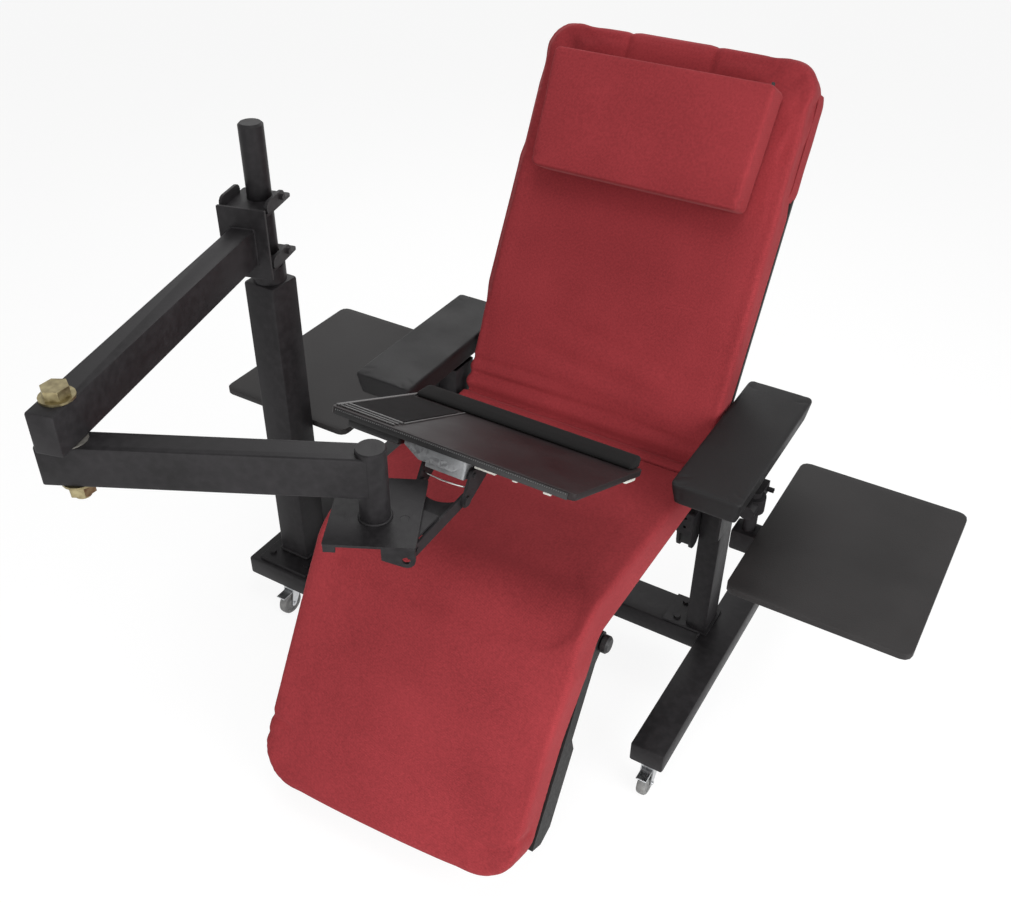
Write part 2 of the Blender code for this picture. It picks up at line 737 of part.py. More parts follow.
foot_low = RAIL_TOP + GAP
foot_top = foot_low + FOOT_THICKNESS
plate_low = UPRIGHT_TOP + GAP
plate_top = plate_low + ARM_PLATE_THICKNESS
for side, sign in (("left", 1), ("right", -1)):
    upright = tube(
        side + "_upright",
        (sign * UPRIGHT_INNER, sign * UPRIGHT_OUTER),
        (-UPRIGHT_DEPTH / 2, UPRIGHT_DEPTH / 2),
        (foot_top - BITE, UPRIGHT_TOP),
        WALL,
        RAIL_EDGE,
        (Z, -Z),
    )
    foot = box(
        "foot",
        (sign * (UPRIGHT_INNER - FOOT_IN), sign * (UPRIGHT_OUTER + FOOT_THICKNESS)),
        (-FOOT_DEPTH / 2, FOOT_DEPTH / 2),
        (foot_low, foot_top),
    )
    bolts = [
        drum(
            "bolt",
            BOLT_RADIUS,
            (sign * (UPRIGHT_INNER - FOOT_BOLT_IN), y, foot_top - BITE),
            (sign * (UPRIGHT_INNER - FOOT_BOLT_IN), y, foot_top + BOLT_HEIGHT),
            6,
        )
        for y in (-FOOT_BOLT_Y, FOOT_BOLT_Y)
    ]
    part(join(upright, foot, *bolts), "base", "black_paint")

    # The pivot bracket: a drilled front plate, a flange to the upright and a clevis with the tilt pin
    bracket_outer = UPRIGHT_INNER - GAP
    plate_width = bracket_outer - BRACKET_INNER_X
    plate_x = sign * (bracket_outer + BRACKET_INNER_X) / 2
    face = rounded(plate_width, BRACKET_TOP - BRACKET_SHOULDER, BRACKET_THICKNESS, 3)
    middle_z = (BRACKET_TOP + BRACKET_SHOULDER) / 2
    holes = [circle(0, BRACKET_TOP - down - middle_z, BRACKET_HOLE, 12) for down in BRACKET_HOLES_DOWN]
    bracket = plate(
        side + "_pivot_bracket",
        [face, *holes],
        BRACKET_THICKNESS,
        frame_at(Vector((plate_x, BRACKET_FRONT + BRACKET_THICKNESS / 2, middle_z)), X, Z),
    )
    flange_x = bracket_outer - BRACKET_THICKNESS
    flange = box(
        "flange",
        (sign * flange_x, sign * bracket_outer),
        (BRACKET_FRONT + BRACKET_THICKNESS / 2, BRACKET_BACK),
        (BRACKET_SHOULDER + BRACKET_THICKNESS, BRACKET_TOP - BRACKET_THICKNESS),
    )
    inner_cheek = BRACKET_INNER_X + CHEEK_INSET + BRACKET_THICKNESS
    outer_cheek = bracket_outer - GAP - BRACKET_THICKNESS
    cheek_front = BRACKET_FRONT + BRACKET_THICKNESS / 2
    cheek_top = BRACKET_SHOULDER + BRACKET_THICKNESS / 2
    cheek = hull(
        (TILT_Y, TILT_Z, BRACKET_ROUND),
        (cheek_front + CHEEK_CORNER, cheek_top, CHEEK_CORNER),
        (CHEEK_BACK - CHEEK_CORNER, cheek_top, CHEEK_CORNER),
    )
    cheeks = [
        side_plate("cheek", [cheek], BRACKET_THICKNESS, sign * x)
        for x in (inner_cheek - BRACKET_THICKNESS / 2, outer_cheek + BRACKET_THICKNESS / 2)
    ]
    pin = drum(
        "pin",
        TILT_PIN_RADIUS,
        (sign * (BRACKET_INNER_X + BITE), TILT_Y, TILT_Z),
        (sign * (bracket_outer - BITE), TILT_Y, TILT_Z),
        16,
    )
    part(join(bracket, flange, *cheeks, pin), "base", "black_paint")

    arm_plate = box(
        side + "_arm_plate",
        (sign * (PAD_INNER_X + ARM_PLATE_INSET), sign * (PAD_OUTER_X - ARM_PLATE_INSET)),
        (PAD_FRONT + ARM_PLATE_INSET, PAD_BACK - ARM_PLATE_INSET),
        (plate_low, plate_top),
    )
    part(bevelled(arm_plate, PLATE_EDGE, 1), "base", "black_paint")
    pad_low = plate_top + GAP
    pad_x = sign * (PAD_INNER_X + PAD_OUTER_X) / 2
    pad = loft(
        side + "_arm_pad",
        (PAD_OUTER_X - PAD_INNER_X) / 2,
        PAD_HEIGHT - PAD_CROWN,
        PAD_ROUND,
        PAD_CROWN,
        straight(
            Vector((pad_x, PAD_FRONT, pad_low)),
            Vector((pad_x, PAD_BACK, pad_low)),
            X,
            Z,
            PAD_ROUND,
            PAD_ROUND,
            4,
        ),
    )
    part(pad, "base", "black_vinyl")

    # The tray clamp: a plate on the upright, an arm to a bored boss, a barrel and an ear with its bolt
    clamp_x = sign * TRAY_ROD_X
    clamp_top = CLAMP_LOW + CLAMP_HEIGHT
    clamp_mid = (CLAMP_LOW + clamp_top) / 2
    clamp = drum(
        side + "_tray_clamp",
        CLAMP_RADIUS,
        (clamp_x, TRAY_ROD_Y, CLAMP_LOW),
        (clamp_x, TRAY_ROD_Y, clamp_top),
    )
    clamp_plate = box(
        "clamp_plate",
        (sign * (UPRIGHT_OUTER + GAP), sign * (UPRIGHT_OUTER + GAP + CLAMP_PLATE)),
        (CLAMP_PLATE_FRONT, UPRIGHT_DEPTH / 2),
        (CLAMP_PLATE_LOW, clamp_top),
    )
    clamp_arm = box(
        "clamp_arm",
        (sign * (UPRIGHT_OUTER + GAP + CLAMP_PLATE / 2), clamp_x),
        (TRAY_ROD_Y - CLAMP_ARM_DEPTH / 2, TRAY_ROD_Y + CLAMP_ARM_DEPTH / 2),
        (CLAMP_LOW + BITE, clamp_top - BITE),
    )
    barrel = drum(
        "barrel",
        BARREL_RADIUS,
        (clamp_x, TRAY_ROD_Y - CLAMP_RADIUS - BARREL_LENGTH + BITE, clamp_mid),
        (clamp_x, TRAY_ROD_Y - TRAY_ROD_RADIUS, clamp_mid),
    )
    ear = box(
        "ear",
        (clamp_x - EAR_WIDTH / 2, clamp_x + EAR_WIDTH / 2),
        (TRAY_ROD_Y, EAR_BACK),
        (CLAMP_LOW + 2 * BITE, clamp_top - 2 * BITE),
    )
    ear_y = EAR_BACK - 2 * EAR_BOLT_RADIUS
    ear_bolt = drum(
        "ear_bolt",
        EAR_BOLT_RADIUS,
        (clamp_x - EAR_BOLT_LENGTH / 2, ear_y, clamp_mid),
        (clamp_x + EAR_BOLT_LENGTH / 2, ear_y, clamp_mid),
        6,
    )
    bore = drum(
        "bore",
        TRAY_ROD_RADIUS + PIN_PLAY,
        (clamp_x, TRAY_ROD_Y, CLAMP_LOW - REACH),
        (clamp_x, TRAY_ROD_Y, clamp_top + REACH),
    )
    join(clamp, clamp_plate, clamp_arm, barrel, ear, ear_bolt)
    part(cut(clamp, bore), "base", "black_paint")

# Side trays swivel on their rods
tray_low = TRAY_TOP - TRAY_THICKNESS
arm_top = tray_low - GAP
arm_low = arm_top - TRAY_ARM_SIZE
right_tray_y = MAST_Y + MAST_SIZE / 2 + TRAY_MAST_GAP + TRAY_DEPTH / 2
for side, sign, tray_x, tray_y in (
    ("left", 1, TRAY_ROD_X + LEFT_TRAY_OUT, LEFT_TRAY_Y),
    ("right", -1, -TRAY_ROD_X - RIGHT_TRAY_OUT, right_tray_y),
):
    carrier = side + "_tray"
    rod_x = sign * TRAY_ROD_X
    body(carrier, (rod_x, TRAY_ROD_Y, arm_top), "base")
    arm = tube(
        side + "_tray_arm",
        (rod_x - sign * TRAY_ARM_INNER, tray_x + sign * TRAY_ARM_PAST),
        (TRAY_ROD_Y - TRAY_ARM_SIZE / 2, TRAY_ROD_Y + TRAY_ARM_SIZE / 2),
        (arm_low, arm_top),
        WALL,
        RAIL_EDGE,
        (X * sign,),
    )
    rod = drum(
        "rod",
        TRAY_ROD_RADIUS,
        (rod_x, TRAY_ROD_Y, arm_top - WALL + GAP),
        (rod_x, TRAY_ROD_Y, clamp_top + TRAY_ROD_SHOWS),
    )
    part(join(arm, rod), carrier, "black_paint")
    board = plate(
        side + "_side_tray",
        [rounded(TRAY_WIDTH, TRAY_DEPTH, TRAY_CORNER)],
        TRAY_THICKNESS,
        Matrix.Translation((tray_x, tray_y, tray_low + TRAY_THICKNESS / 2)),
    )
    part(bevelled(board, TRAY_EDGE), carrier, "dark_laminate")

# Casters: the stem turns in the rail and the wheel turns on the axle
neck_top = RAIL_BOTTOM - GAP
crown_low = 2 * WHEEL_RADIUS + CROWN_OVER_WHEEL
cheek_inner = WHEEL_WIDTH / 2 + CHEEK_PLAY
for where, x, y in casters:
    carrier = where + "_fork"
    axle_y = y - CASTER_TRAIL
    axle = Vector((x, axle_y, AXLE_Z))
    body(carrier, (x, y, neck_top), "base")
    body(where + "_wheel", axle, carrier)
    crown_half = cheek_inner + CHEEK_THICKNESS
    fork = box(
        where + "_fork",
        (x - crown_half, x + crown_half),
        (axle_y, y + NECK_RADIUS),
        (crown_low, crown_low + CROWN_THICKNESS),
    )
    neck = drum("neck", NECK_RADIUS, (x, y, crown_low + BITE), (x, y, neck_top), 14)
    stem = drum("stem", STEM_RADIUS, (x, y, neck_top - BITE), (x, y, neck_top + STEM_IN_RAIL), 10)
    cheek = hull(
        (axle_y, AXLE_Z, 2 * AXLE_RADIUS),
        (axle_y + AXLE_RADIUS, crown_low, AXLE_RADIUS),
        (y + NECK_RADIUS / 2, crown_low, AXLE_RADIUS),
    )
    sides = [
        side_plate("cheek", [cheek], CHEEK_THICKNESS, x + sign * (cheek_inner + CHEEK_THICKNESS / 2))
        for sign in (-1, 1)
    ]
    pin = drum(
        "axle",
        AXLE_RADIUS,
        axle - X * (crown_half + CHEEK_THICKNESS),
        axle + X * (crown_half + CHEEK_THICKNESS),
        10,
    )
    part(join(fork, neck, stem, *sides, pin), carrier, "bright_zinc")
    half = WHEEL_WIDTH / 2
    tread = WHEEL_RADIUS - WHEEL_EDGE
    wheel = turned(
        where + "_wheel",
        [
            (AXLE_RADIUS + PIN_PLAY, half),
            (tread, half),
            (WHEEL_RADIUS, half - WHEEL_EDGE),
            (WHEEL_RADIUS, WHEEL_EDGE - half),
            (tread, -half),
            (AXLE_RADIUS + PIN_PLAY, -half),
        ],
        axle,
        X,
    )
    part(wheel, where + "_wheel", "grey_rubber")
    if where.startswith("front"):
        pedal_z = 2 * WHEEL_RADIUS + PEDAL_OVER_WHEEL
        pedal_y = axle_y + PEDAL_ROOT
        body(where + "_pedal", (x, pedal_y, pedal_z), carrier)
        pedal_half = cheek_inner - GAP
        pedal = box(
            where + "_pedal",
            (x - pedal_half, x + pedal_half),
            (pedal_y - PEDAL_LENGTH, pedal_y),
            (pedal_z, pedal_z + PEDAL_THICKNESS),
        )
        part(bevelled(pedal, PEDAL_THICKNESS / 4, 1), where + "_pedal", "bright_zinc")

# Mast: foot plate, tube, rod and the collar that carries the swing arm
mast_low = foot_low + MAST_FOOT_THICKNESS
mast_foot = box(
    "mast_foot_plate",
    (MAST_X - MAST_FOOT_X / 2, MAST_X + MAST_FOOT_X / 2),
    (MAST_Y - MAST_FOOT_Y / 2, MAST_Y + MAST_FOOT_Y / 2),
    (foot_low, mast_low),
)
mast_bolts = [
    drum(
        "bolt",
        BOLT_RADIUS,
        (MAST_X + u * MAST_BOLT_X, MAST_Y + v * MAST_BOLT_Y, mast_low - BITE),
        (MAST_X + u * MAST_BOLT_X, MAST_Y + v * MAST_BOLT_Y, mast_low + BOLT_HEIGHT),
        6,
    )
    for u in (-1, 1)
    for v in (-1, 1)
]
part(join(bevelled(mast_foot, PLATE_EDGE, 1), *mast_bolts), "base", "black_paint")
mast = tube(
    "mast_tube",
    (MAST_X - MAST_SIZE / 2, MAST_X + MAST_SIZE / 2),
    (MAST_Y - MAST_SIZE / 2, MAST_Y + MAST_SIZE / 2),
    (mast_low + GAP, MAST_TOP),
    MAST_WALL,
    MAST_EDGE,
    (-Z,),
)
part(mast, "base", "black_paint")
mast_rod = cup("mast_rod", ROD_RADIUS, ROD, ROD_LOW, ROD_LOW + ROD_LENGTH, MAST_WALL, ROD_EDGE)
part(mast_rod, "base", "black_paint")
collar_bore = ROD_RADIUS + PIN_PLAY
collar = turned(
    "thrust_collar",
    [
        (collar_bore, 0),
        (COLLAR_RADIUS, 0),
        (COLLAR_RADIUS, COLLAR_HEIGHT - COLLAR_NECK),
        (COLLAR_NECK_RADIUS, COLLAR_HEIGHT - COLLAR_NECK),
        (COLLAR_NECK_RADIUS, COLLAR_HEIGHT),
        (collar_bore, COLLAR_HEIGHT),
    ],
    ROD + Z * ROD_LOW,
    Z,
)
part(collar, "base", "black_paint")

# Swing arm: carriage, tube and elbow bolt, drawn along the arm from the rod
SWING_SIDE = Z.cross(SWING)
body("swing_arm", ROD + Z * SWING_LOW, "base")
swing_frame = frame_at(ROD, SWING, SWING_SIDE)
carriage_back = CARRIAGE_FRONT - CARRIAGE_THICKNESS
carriage = box(
    "carriage_plate",
    (carriage_back, CARRIAGE_FRONT),
    (-CARRIAGE_WIDTH / 2, CARRIAGE_WIDTH / 2),
    (CARRIAGE_LOW, CARRIAGE_LOW + CARRIAGE_HEIGHT),
    swing_frame,
)
part(bevelled(carriage, PLATE_EDGE, 1), "swing_arm", "black_paint")
for name, low in (
    ("lower_rod_bracket", ROD_BRACKET_LOW),
    ("upper_rod_bracket", ROD_BRACKET_LOW + ROD_BRACKET_SPACING),
):
    web_front = carriage_back - GAP
    web_length = web_front - ROD_BRACKET_BACK
    web_middle = (web_front + ROD_BRACKET_BACK) / 2
    web = plate(
        name,
        [
            rounded(web_length, CARRIAGE_WIDTH, BRACKET_THICKNESS, 3, (web_middle, 0)),
            circle(0, 0, ROD_RADIUS + 2 * PIN_PLAY, 24),
        ],
        BRACKET_THICKNESS,
        swing_frame @ Matrix.Translation((0, 0, low + BRACKET_THICKNESS / 2)),
    )
    ear_round = ROD_BRACKET_HEIGHT / 2
    ear_low = low + ear_round
    outline = hull(
        (web_front - BRACKET_THICKNESS - ear_round, ear_low, ear_round),
        (ROD_EAR_BACK, ear_low, ear_round),
    )
    flanges = []
    for sign in (-1, 1):
        flange_y = sign * (CARRIAGE_WIDTH / 2 - BRACKET_THICKNESS / 2)
        stands = frame_at(ROD + SWING_SIDE * flange_y, SWING, Z)
        flanges.append(plate("flange", [outline], BRACKET_THICKNESS, stands))
        at = ROD + SWING * ROD_EAR_BACK + Z * ear_low
        flanges.append(
            drum(
                "ear_bolt",
                ROD_EAR_BOLT,
                at + SWING_SIDE * flange_y,
                at + SWING_SIDE * sign * (CARRIAGE_WIDTH / 2 + ROD_EAR_BOLT_HEAD),
                6,
            )
        )
    part(join(web, *flanges), "swing_arm", "black_paint")

elbow_bore = ELBOW_BOLT_RADIUS + PIN_PLAY
swing_arm = tube(
    "swing_arm",
    (CARRIAGE_FRONT + GAP, ELBOW_REACH + ELBOW_OVERHANG),
    (-ARM_WIDTH / 2, ARM_WIDTH / 2),
    (SWING_LOW, SWING_ARM_TOP),
    WALL,
    ARM_EDGE,
    (-X,),
    swing_frame,
)
elbow_hole = drum("bore", elbow_bore, ELBOW + Z * (SWING_LOW - REACH), ELBOW + Z * (SWING_ARM_TOP + REACH))
part(cut(swing_arm, elbow_hole), "swing_arm", "black_paint")

disc_low = SWING_ARM_TOP + GAP
head_low = disc_low + ELBOW_DISC
nut_disc = FORE_LOW - GAP
nut_low = nut_disc - ELBOW_DISC - ELBOW_NUT_HEIGHT
bolt = drum(
    "elbow_bolt",
    ELBOW_BOLT_RADIUS,
    ELBOW + Z * (nut_low - ELBOW_TAIL),
    ELBOW + Z * (head_low + BITE),
)
bolt_disc = drum("disc", ELBOW_DISC_RADIUS, ELBOW + Z * disc_low, ELBOW + Z * head_low)
bolt_head = drum(
    "head",
    ELBOW_HEX_RADIUS,
    ELBOW + Z * (head_low - BITE),
    ELBOW + Z * (head_low + ELBOW_HEX_HEIGHT),
    6,
)
part(join(bolt, bolt_disc, bolt_head), "swing_arm", "yellow_zinc")
nut = drum("elbow_nut", ELBOW_HEX_RADIUS, ELBOW + Z * nut_low, ELBOW + Z * (nut_disc - BITE), 6)
nut_washer = drum("disc", ELBOW_DISC_RADIUS, ELBOW + Z * (nut_disc - ELBOW_DISC), ELBOW + Z * nut_disc)
nut_bore = drum("bore", elbow_bore, ELBOW + Z * (nut_low - REACH), ELBOW + Z * (nut_disc + REACH))
part(cut(join(nut, nut_washer), nut_bore), "swing_arm", "yellow_zinc")

# Fore arm: washer, tube, sleeve and the shelf plate under it
FORE_SIDE = Z.cross(FORE)
body("fore_arm", ELBOW + Z * FORE_LOW, "swing_arm")
fore_frame = frame_at(ELBOW, FORE, FORE_SIDE)
washer = turned(
    "elbow_washer",
    [
        (elbow_bore, 0),
        (ELBOW_WASHER_RADIUS, 0),
        (ELBOW_WASHER_RADIUS, ELBOW_WASHER),
        (elbow_bore, ELBOW_WASHER),
    ],
    ELBOW + Z * (FORE_TOP + GAP),
    Z,
)
part(washer, "fore_arm", "pale_nylon")
fore_arm = tube(
    "fore_arm",
    (-FORE_OVERHANG, SLEEVE_REACH),
    (-ARM_WIDTH / 2, ARM_WIDTH / 2),
    (FORE_LOW, FORE_TOP),
    WALL,
    ARM_EDGE,
    (X,),
    fore_frame,
)
fore_hole = drum("bore", elbow_bore, ELBOW + Z * (FORE_LOW - REACH), ELBOW + Z * (FORE_TOP + REACH))
cope = drum(
    "cope",
    SLEEVE_RADIUS + GAP,
    SLEEVE + Z * (FORE_LOW - REACH),
    SLEEVE + Z * (FORE_TOP + REACH),
    32,
)
part(cut(fore_arm, fore_hole, cope), "fore_arm", "black_paint")
sleeve = cup("keyboard_sleeve", SLEEVE_RADIUS, SLEEVE, SHELF_TOP + GAP, FORE_TOP + SLEEVE_RISE, WALL, BITE)
part(sleeve, "fore_arm", "black_paint")

swivel_from_sleeve = SWIVEL - SLEEVE
swivel_u = swivel_from_sleeve.dot(FORE)
swivel_v = swivel_from_sleeve.dot(FORE_SIDE)
shelf_low = SHELF_TOP - SHELF_THICKNESS
shelf_frame = frame_at(SLEEVE, FORE, FORE_SIDE)
shelf_middle = (0, (SHELF_FRONT + SHELF_BACK) / 2)
shelf = plate(
    "keyboard_plate",
    [
        rounded(SHELF_WIDTH, SHELF_BACK - SHELF_FRONT, SHELF_CORNER, 2, shelf_middle),
        circle(swivel_u, swivel_v, SWIVEL_BOLT_RADIUS + PIN_PLAY),
    ],
    SHELF_THICKNESS,
    shelf_frame @ Matrix.Translation((0, 0, shelf_low + SHELF_THICKNESS / 2)),
)
tab_right = SHELF_WIDTH / 2 - STEP
tab_outline = hull(
    (tab_right - TAB_WIDTH + BITE, shelf_low, BITE),
    (tab_right - BITE, shelf_low, BITE),
    (tab_right - TAB_WIDTH + BITE, shelf_low - TAB_SHOULDER, BITE),
    (tab_right - TAB_ROUND, shelf_low - TAB_DROP + TAB_ROUND, TAB_ROUND),
)
tab_hole = circle(tab_right - TAB_ROUND, shelf_low - TAB_DROP + TAB_ROUND, TAB_HOLE)
tab_frame = frame_at(SLEEVE + FORE_SIDE * (SHELF_FRONT + STEP + SHELF_THICKNESS / 2), FORE, Z)
tab = plate("tab", [tab_outline, tab_hole], SHELF_THICKNESS, tab_frame)
small_tab = box(
    "small_tab",
    (-tab_right, SMALL_TAB_WIDTH - tab_right),
    (SHELF_FRONT + STEP, SHELF_FRONT + SHELF_THICKNESS),
    (shelf_low - SMALL_TAB_DROP, SHELF_TOP - BITE),
    shelf_frame,
)
part(join(shelf, tab, small_tab), "fore_arm", "black_paint")

# Keyboard swivel bracket: plate, cheeks, hinge pin and the bolt through the shelf
swivel_top = shelf_low - GAP
swivel_low = swivel_top - SWIVEL_PLATE
body("swivel", SWIVEL + Z * swivel_top, "fore_arm")
cheek_out = LIFT_HALF - LIFT_SIDE - GAP
swivel_bracket = box(
    "swivel_bracket",
    (KEYS_X - cheek_out, KEYS_X + cheek_out),
    (SWIVEL.y - SWIVEL_PLATE_FRONT, SWIVEL.y + SWIVEL_PLATE_BACK),
    (swivel_low, swivel_top),
)
swivel_cheeks = [
    box(
        "cheek",
        (KEYS_X + sign * cheek_out, KEYS_X + sign * (cheek_out - SWIVEL_CHEEK)),
        (SWIVEL.y - SWIVEL_PLATE_FRONT, LIFT_Y + LIFT_RADIUS),
        (LIFT_Z - LIFT_RADIUS, swivel_low + BITE),
    )
    for sign in (-1, 1)
]
hinge_pin = drum(
    "hinge_pin",
    HINGE_PIN_RADIUS,
    (KEYS_X - LIFT_HALF - BITE, LIFT_Y, LIFT_Z),
    (KEYS_X + LIFT_HALF + BITE, LIFT_Y, LIFT_Z),
    16,
)
swivel_bolt = drum(
    "swivel_bolt", SWIVEL_BOLT_RADIUS, SWIVEL + Z * (swivel_low + BITE), SWIVEL + Z * (SHELF_TOP - GAP)
)
part(join(swivel_bracket, *swivel_cheeks, hinge_pin, swivel_bolt), "swivel", "black_paint")

# Lift arm: two side bars and a web with an arc cut in its near edge
body("lift", (KEYS_X, LIFT_Y, LIFT_Z), "swivel")
bar = hull((LIFT_Y, LIFT_Z, LIFT_RADIUS), (HEAD_Y, HEAD_Z, LIFT_RADIUS))
bar_holes = [
    circle(LIFT_Y, LIFT_Z, HINGE_PIN_RADIUS + PIN_PLAY, 16),
    circle(HEAD_Y, HEAD_Z, HEAD_PIN_RADIUS + PIN_PLAY, 16),
]
bar_x = LIFT_HALF - LIFT_SIDE / 2
lift = side_plate("lift_arm", [bar, *bar_holes], LIFT_SIDE, KEYS_X - bar_x)
other_bar = side_plate("bar", [bar, *bar_holes], LIFT_SIDE, KEYS_X + bar_x)
web_z = LIFT_Z + LIFT_RADIUS / 2
web_front = LIFT_Y + LIFT_WEB_FROM
web_back = HEAD_Y - LIFT_WEB_SHORT
web = box(
    "web",
    (KEYS_X - bar_x, KEYS_X + bar_x),
    (web_front, web_back),
    (web_z - LIFT_WEB / 2, web_z + LIFT_WEB / 2),
)
arc_y = web_back + LIFT_ARC_RADIUS - LIFT_ARC_DEPTH
arc_centre = Vector((KEYS_X, arc_y, web_z))
arc_cutter = drum("arc", LIFT_ARC_RADIUS, arc_centre - Z * REACH, arc_centre + Z * REACH, 32)
arc_room = LIFT_HALF - LIFT_SIDE - BITE
keep = box(
    "arc_keep", (KEYS_X - arc_room, KEYS_X + arc_room), (web_front, HEAD_Y + REACH), (0, 1)
)
combine(arc_cutter, "INTERSECT", [keep])
part(cut(join(lift, other_bar, web), arc_cutter), "lift", "black_paint")

# Tilt head: two side plates on rivets, joined by the shaft that carries the tray mount
body("head", (KEYS_X, HEAD_Y, HEAD_Z), "lift")
head_outline = hull(
    (HEAD_Y, HEAD_Z, HEAD_PIVOT_ROUND),
    (TRAY_TILT_Y, TRAY_TILT_Z, HEAD_SCREW_ROUND),
    (HEAD_Y + HEAD_TAIL_AHEAD, HEAD_Z + HEAD_TAIL_RISE, HEAD_TAIL_ROUND),
)
head_inner = LIFT_HALF + GAP
head_mid = head_inner + HEAD_SIDE / 2
head_outer = head_inner + HEAD_SIDE
tilt_head = side_plate("tilt_head", [head_outline], HEAD_SIDE, KEYS_X - head_mid)
head_pieces = [side_plate("side", [head_outline], HEAD_SIDE, KEYS_X + head_mid)]
for sign in (-1, 1):
    pin_end = KEYS_X + sign * (LIFT_HALF - LIFT_SIDE)
    pin_root = KEYS_X + sign * head_mid
    face_x = KEYS_X + sign * (head_outer - STEP)
    rivet_x = KEYS_X + sign * (head_outer + RIVET_HEIGHT)
    head_pieces.append(
        drum("pin", HEAD_PIN_RADIUS, (pin_end, HEAD_Y, HEAD_Z), (pin_root, HEAD_Y, HEAD_Z), 12)
    )
    head_pieces.append(
        drum("rivet", RIVET_RADIUS, (face_x, HEAD_Y, HEAD_Z), (rivet_x, HEAD_Y, HEAD_Z), 14)
    )
shaft_half = head_outer + RIVET_HEIGHT
head_pieces.append(
    drum(
        "shaft",
        HEAD_PIN_RADIUS,
        (KEYS_X - shaft_half, TRAY_TILT_Y, TRAY_TILT_Z),
        (KEYS_X + shaft_half, TRAY_TILT_Y, TRAY_TILT_Z),
        16,
    )
)
part(join(tilt_head, *head_pieces), "head", "black_paint")

wire = bpy.data.curves.new("head_spring", "CURVE")
wire.dimensions = "3D"
wire.bevel_depth = SPRING_WIRE
wire.bevel_resolution = 2
wire.use_fill_caps = True
bow = wire.splines.new("POLY")
WIRE_STEPS = 12
bow.points.add(WIRE_STEPS)
wire_half = head_inner - SPRING_WIRE - GAP
for step, point in enumerate(bow.points):
    t = math.pi * step / WIRE_STEPS
    point.co = (
        KEYS_X - wire_half * math.cos(t),
        HEAD_Y + SPRING_AHEAD - SPRING_BOW * math.sin(t),
        HEAD_Z + SPRING_UP + SPRING_RISE * math.sin(t),
        1,
    )
drawn = bpy.data.objects.new("wire", wire)
cutters.objects.link(drawn)
wire_mesh = bpy.data.meshes.new_from_object(drawn.evaluated_get(bpy.context.evaluated_depsgraph_get()))
bpy.data.objects.remove(drawn)
work = bmesh.new()
work.from_mesh(wire_mesh)
bmesh.ops.remove_doubles(work, verts=work.verts, dist=WELD)
part(solid("head_spring", work), "head", "spring_steel")

# Keyboard tray: mount, board, mouse pad and palm rest, drawn in the plane of the board
body("keyboard", TRAY_TILT, "head")


def on_board(name, width, depth, thickness, across, ahead, height, corner):
    """A flat piece whose middle is across and ahead of the far edge and whose foot is at a height."""
    lifted = frame_at(BOARD_EDGE + BOARD_UP * (height + thickness / 2), X, BOARD)
    return plate(name, [rounded(width, depth, corner, 4, (across, ahead))], thickness, lifted)


mount_across = -BOARD_SIDE
mount_width = 2 * (LIFT_HALF - LIFT_SIDE - MOUNT_PLAY)
mount_drop = BOARD_PIVOT_UNDER + MOUNT_UNDER_PIVOT
mount_top = -BOARD_THICKNESS - GAP
mount = on_board(
    "tray_mount",
    mount_width,
    MOUNT_FAR - MOUNT_NEAR,
    mount_top + mount_drop,
    mount_across,
    (MOUNT_FAR + MOUNT_NEAR) / 2,
    -mount_drop,
    MOUNT_EDGE,
)
mount_bore = drum(
    "bore",
    HEAD_PIN_RADIUS + PIN_PLAY,
    (KEYS_X - LIFT_HALF - REACH, TRAY_TILT_Y, TRAY_TILT_Z),
    (KEYS_X + LIFT_HALF + REACH, TRAY_TILT_Y, TRAY_TILT_Z),
    16,
)
part(cut(mount, mount_bore), "keyboard", "grey_casting")
board = on_board(
    "keyboard_tray",
    BOARD_WIDTH,
    BOARD_DEPTH,
    BOARD_THICKNESS,
    0,
    BOARD_DEPTH / 2,
    -BOARD_THICKNESS,
    BOARD_CORNER,
)
part(bevelled(board, TRAY_EDGE), "keyboard", "dark_laminate")
mouse_pad = on_board(
    "mouse_pad",
    MOUSE_WIDTH,
    MOUSE_DEPTH,
    MOUSE_THICKNESS,
    MOUSE_SIDE + (MOUSE_WIDTH - BOARD_WIDTH) / 2,
    MOUSE_AHEAD + MOUSE_DEPTH / 2,
    GAP,
    MOUSE_CORNER,
)
part(bevelled(mouse_pad, MOUSE_THICKNESS / 4, 1), "keyboard", "black_plastic")
palm_middle = BOARD_EDGE + BOARD * (BOARD_DEPTH + PALM_OUT - PALM_DEPTH / 2) + BOARD_UP * GAP
palm_middle += X * PALM_SIDE
palm_half = BOARD_WIDTH / 2 - PALM_SHORT
palm = loft(
    "palm_rest",
    PALM_DEPTH / 2,
    PALM_HEIGHT,
    PALM_ROUND,
    0,
    straight(
        palm_middle - X * palm_half,
        palm_middle + X * palm_half,
        -BOARD,
        BOARD_UP,
        PALM_ROUND,
        PALM_ROUND,
        3,
    ),
)
part(palm, "keyboard", "black_foam")

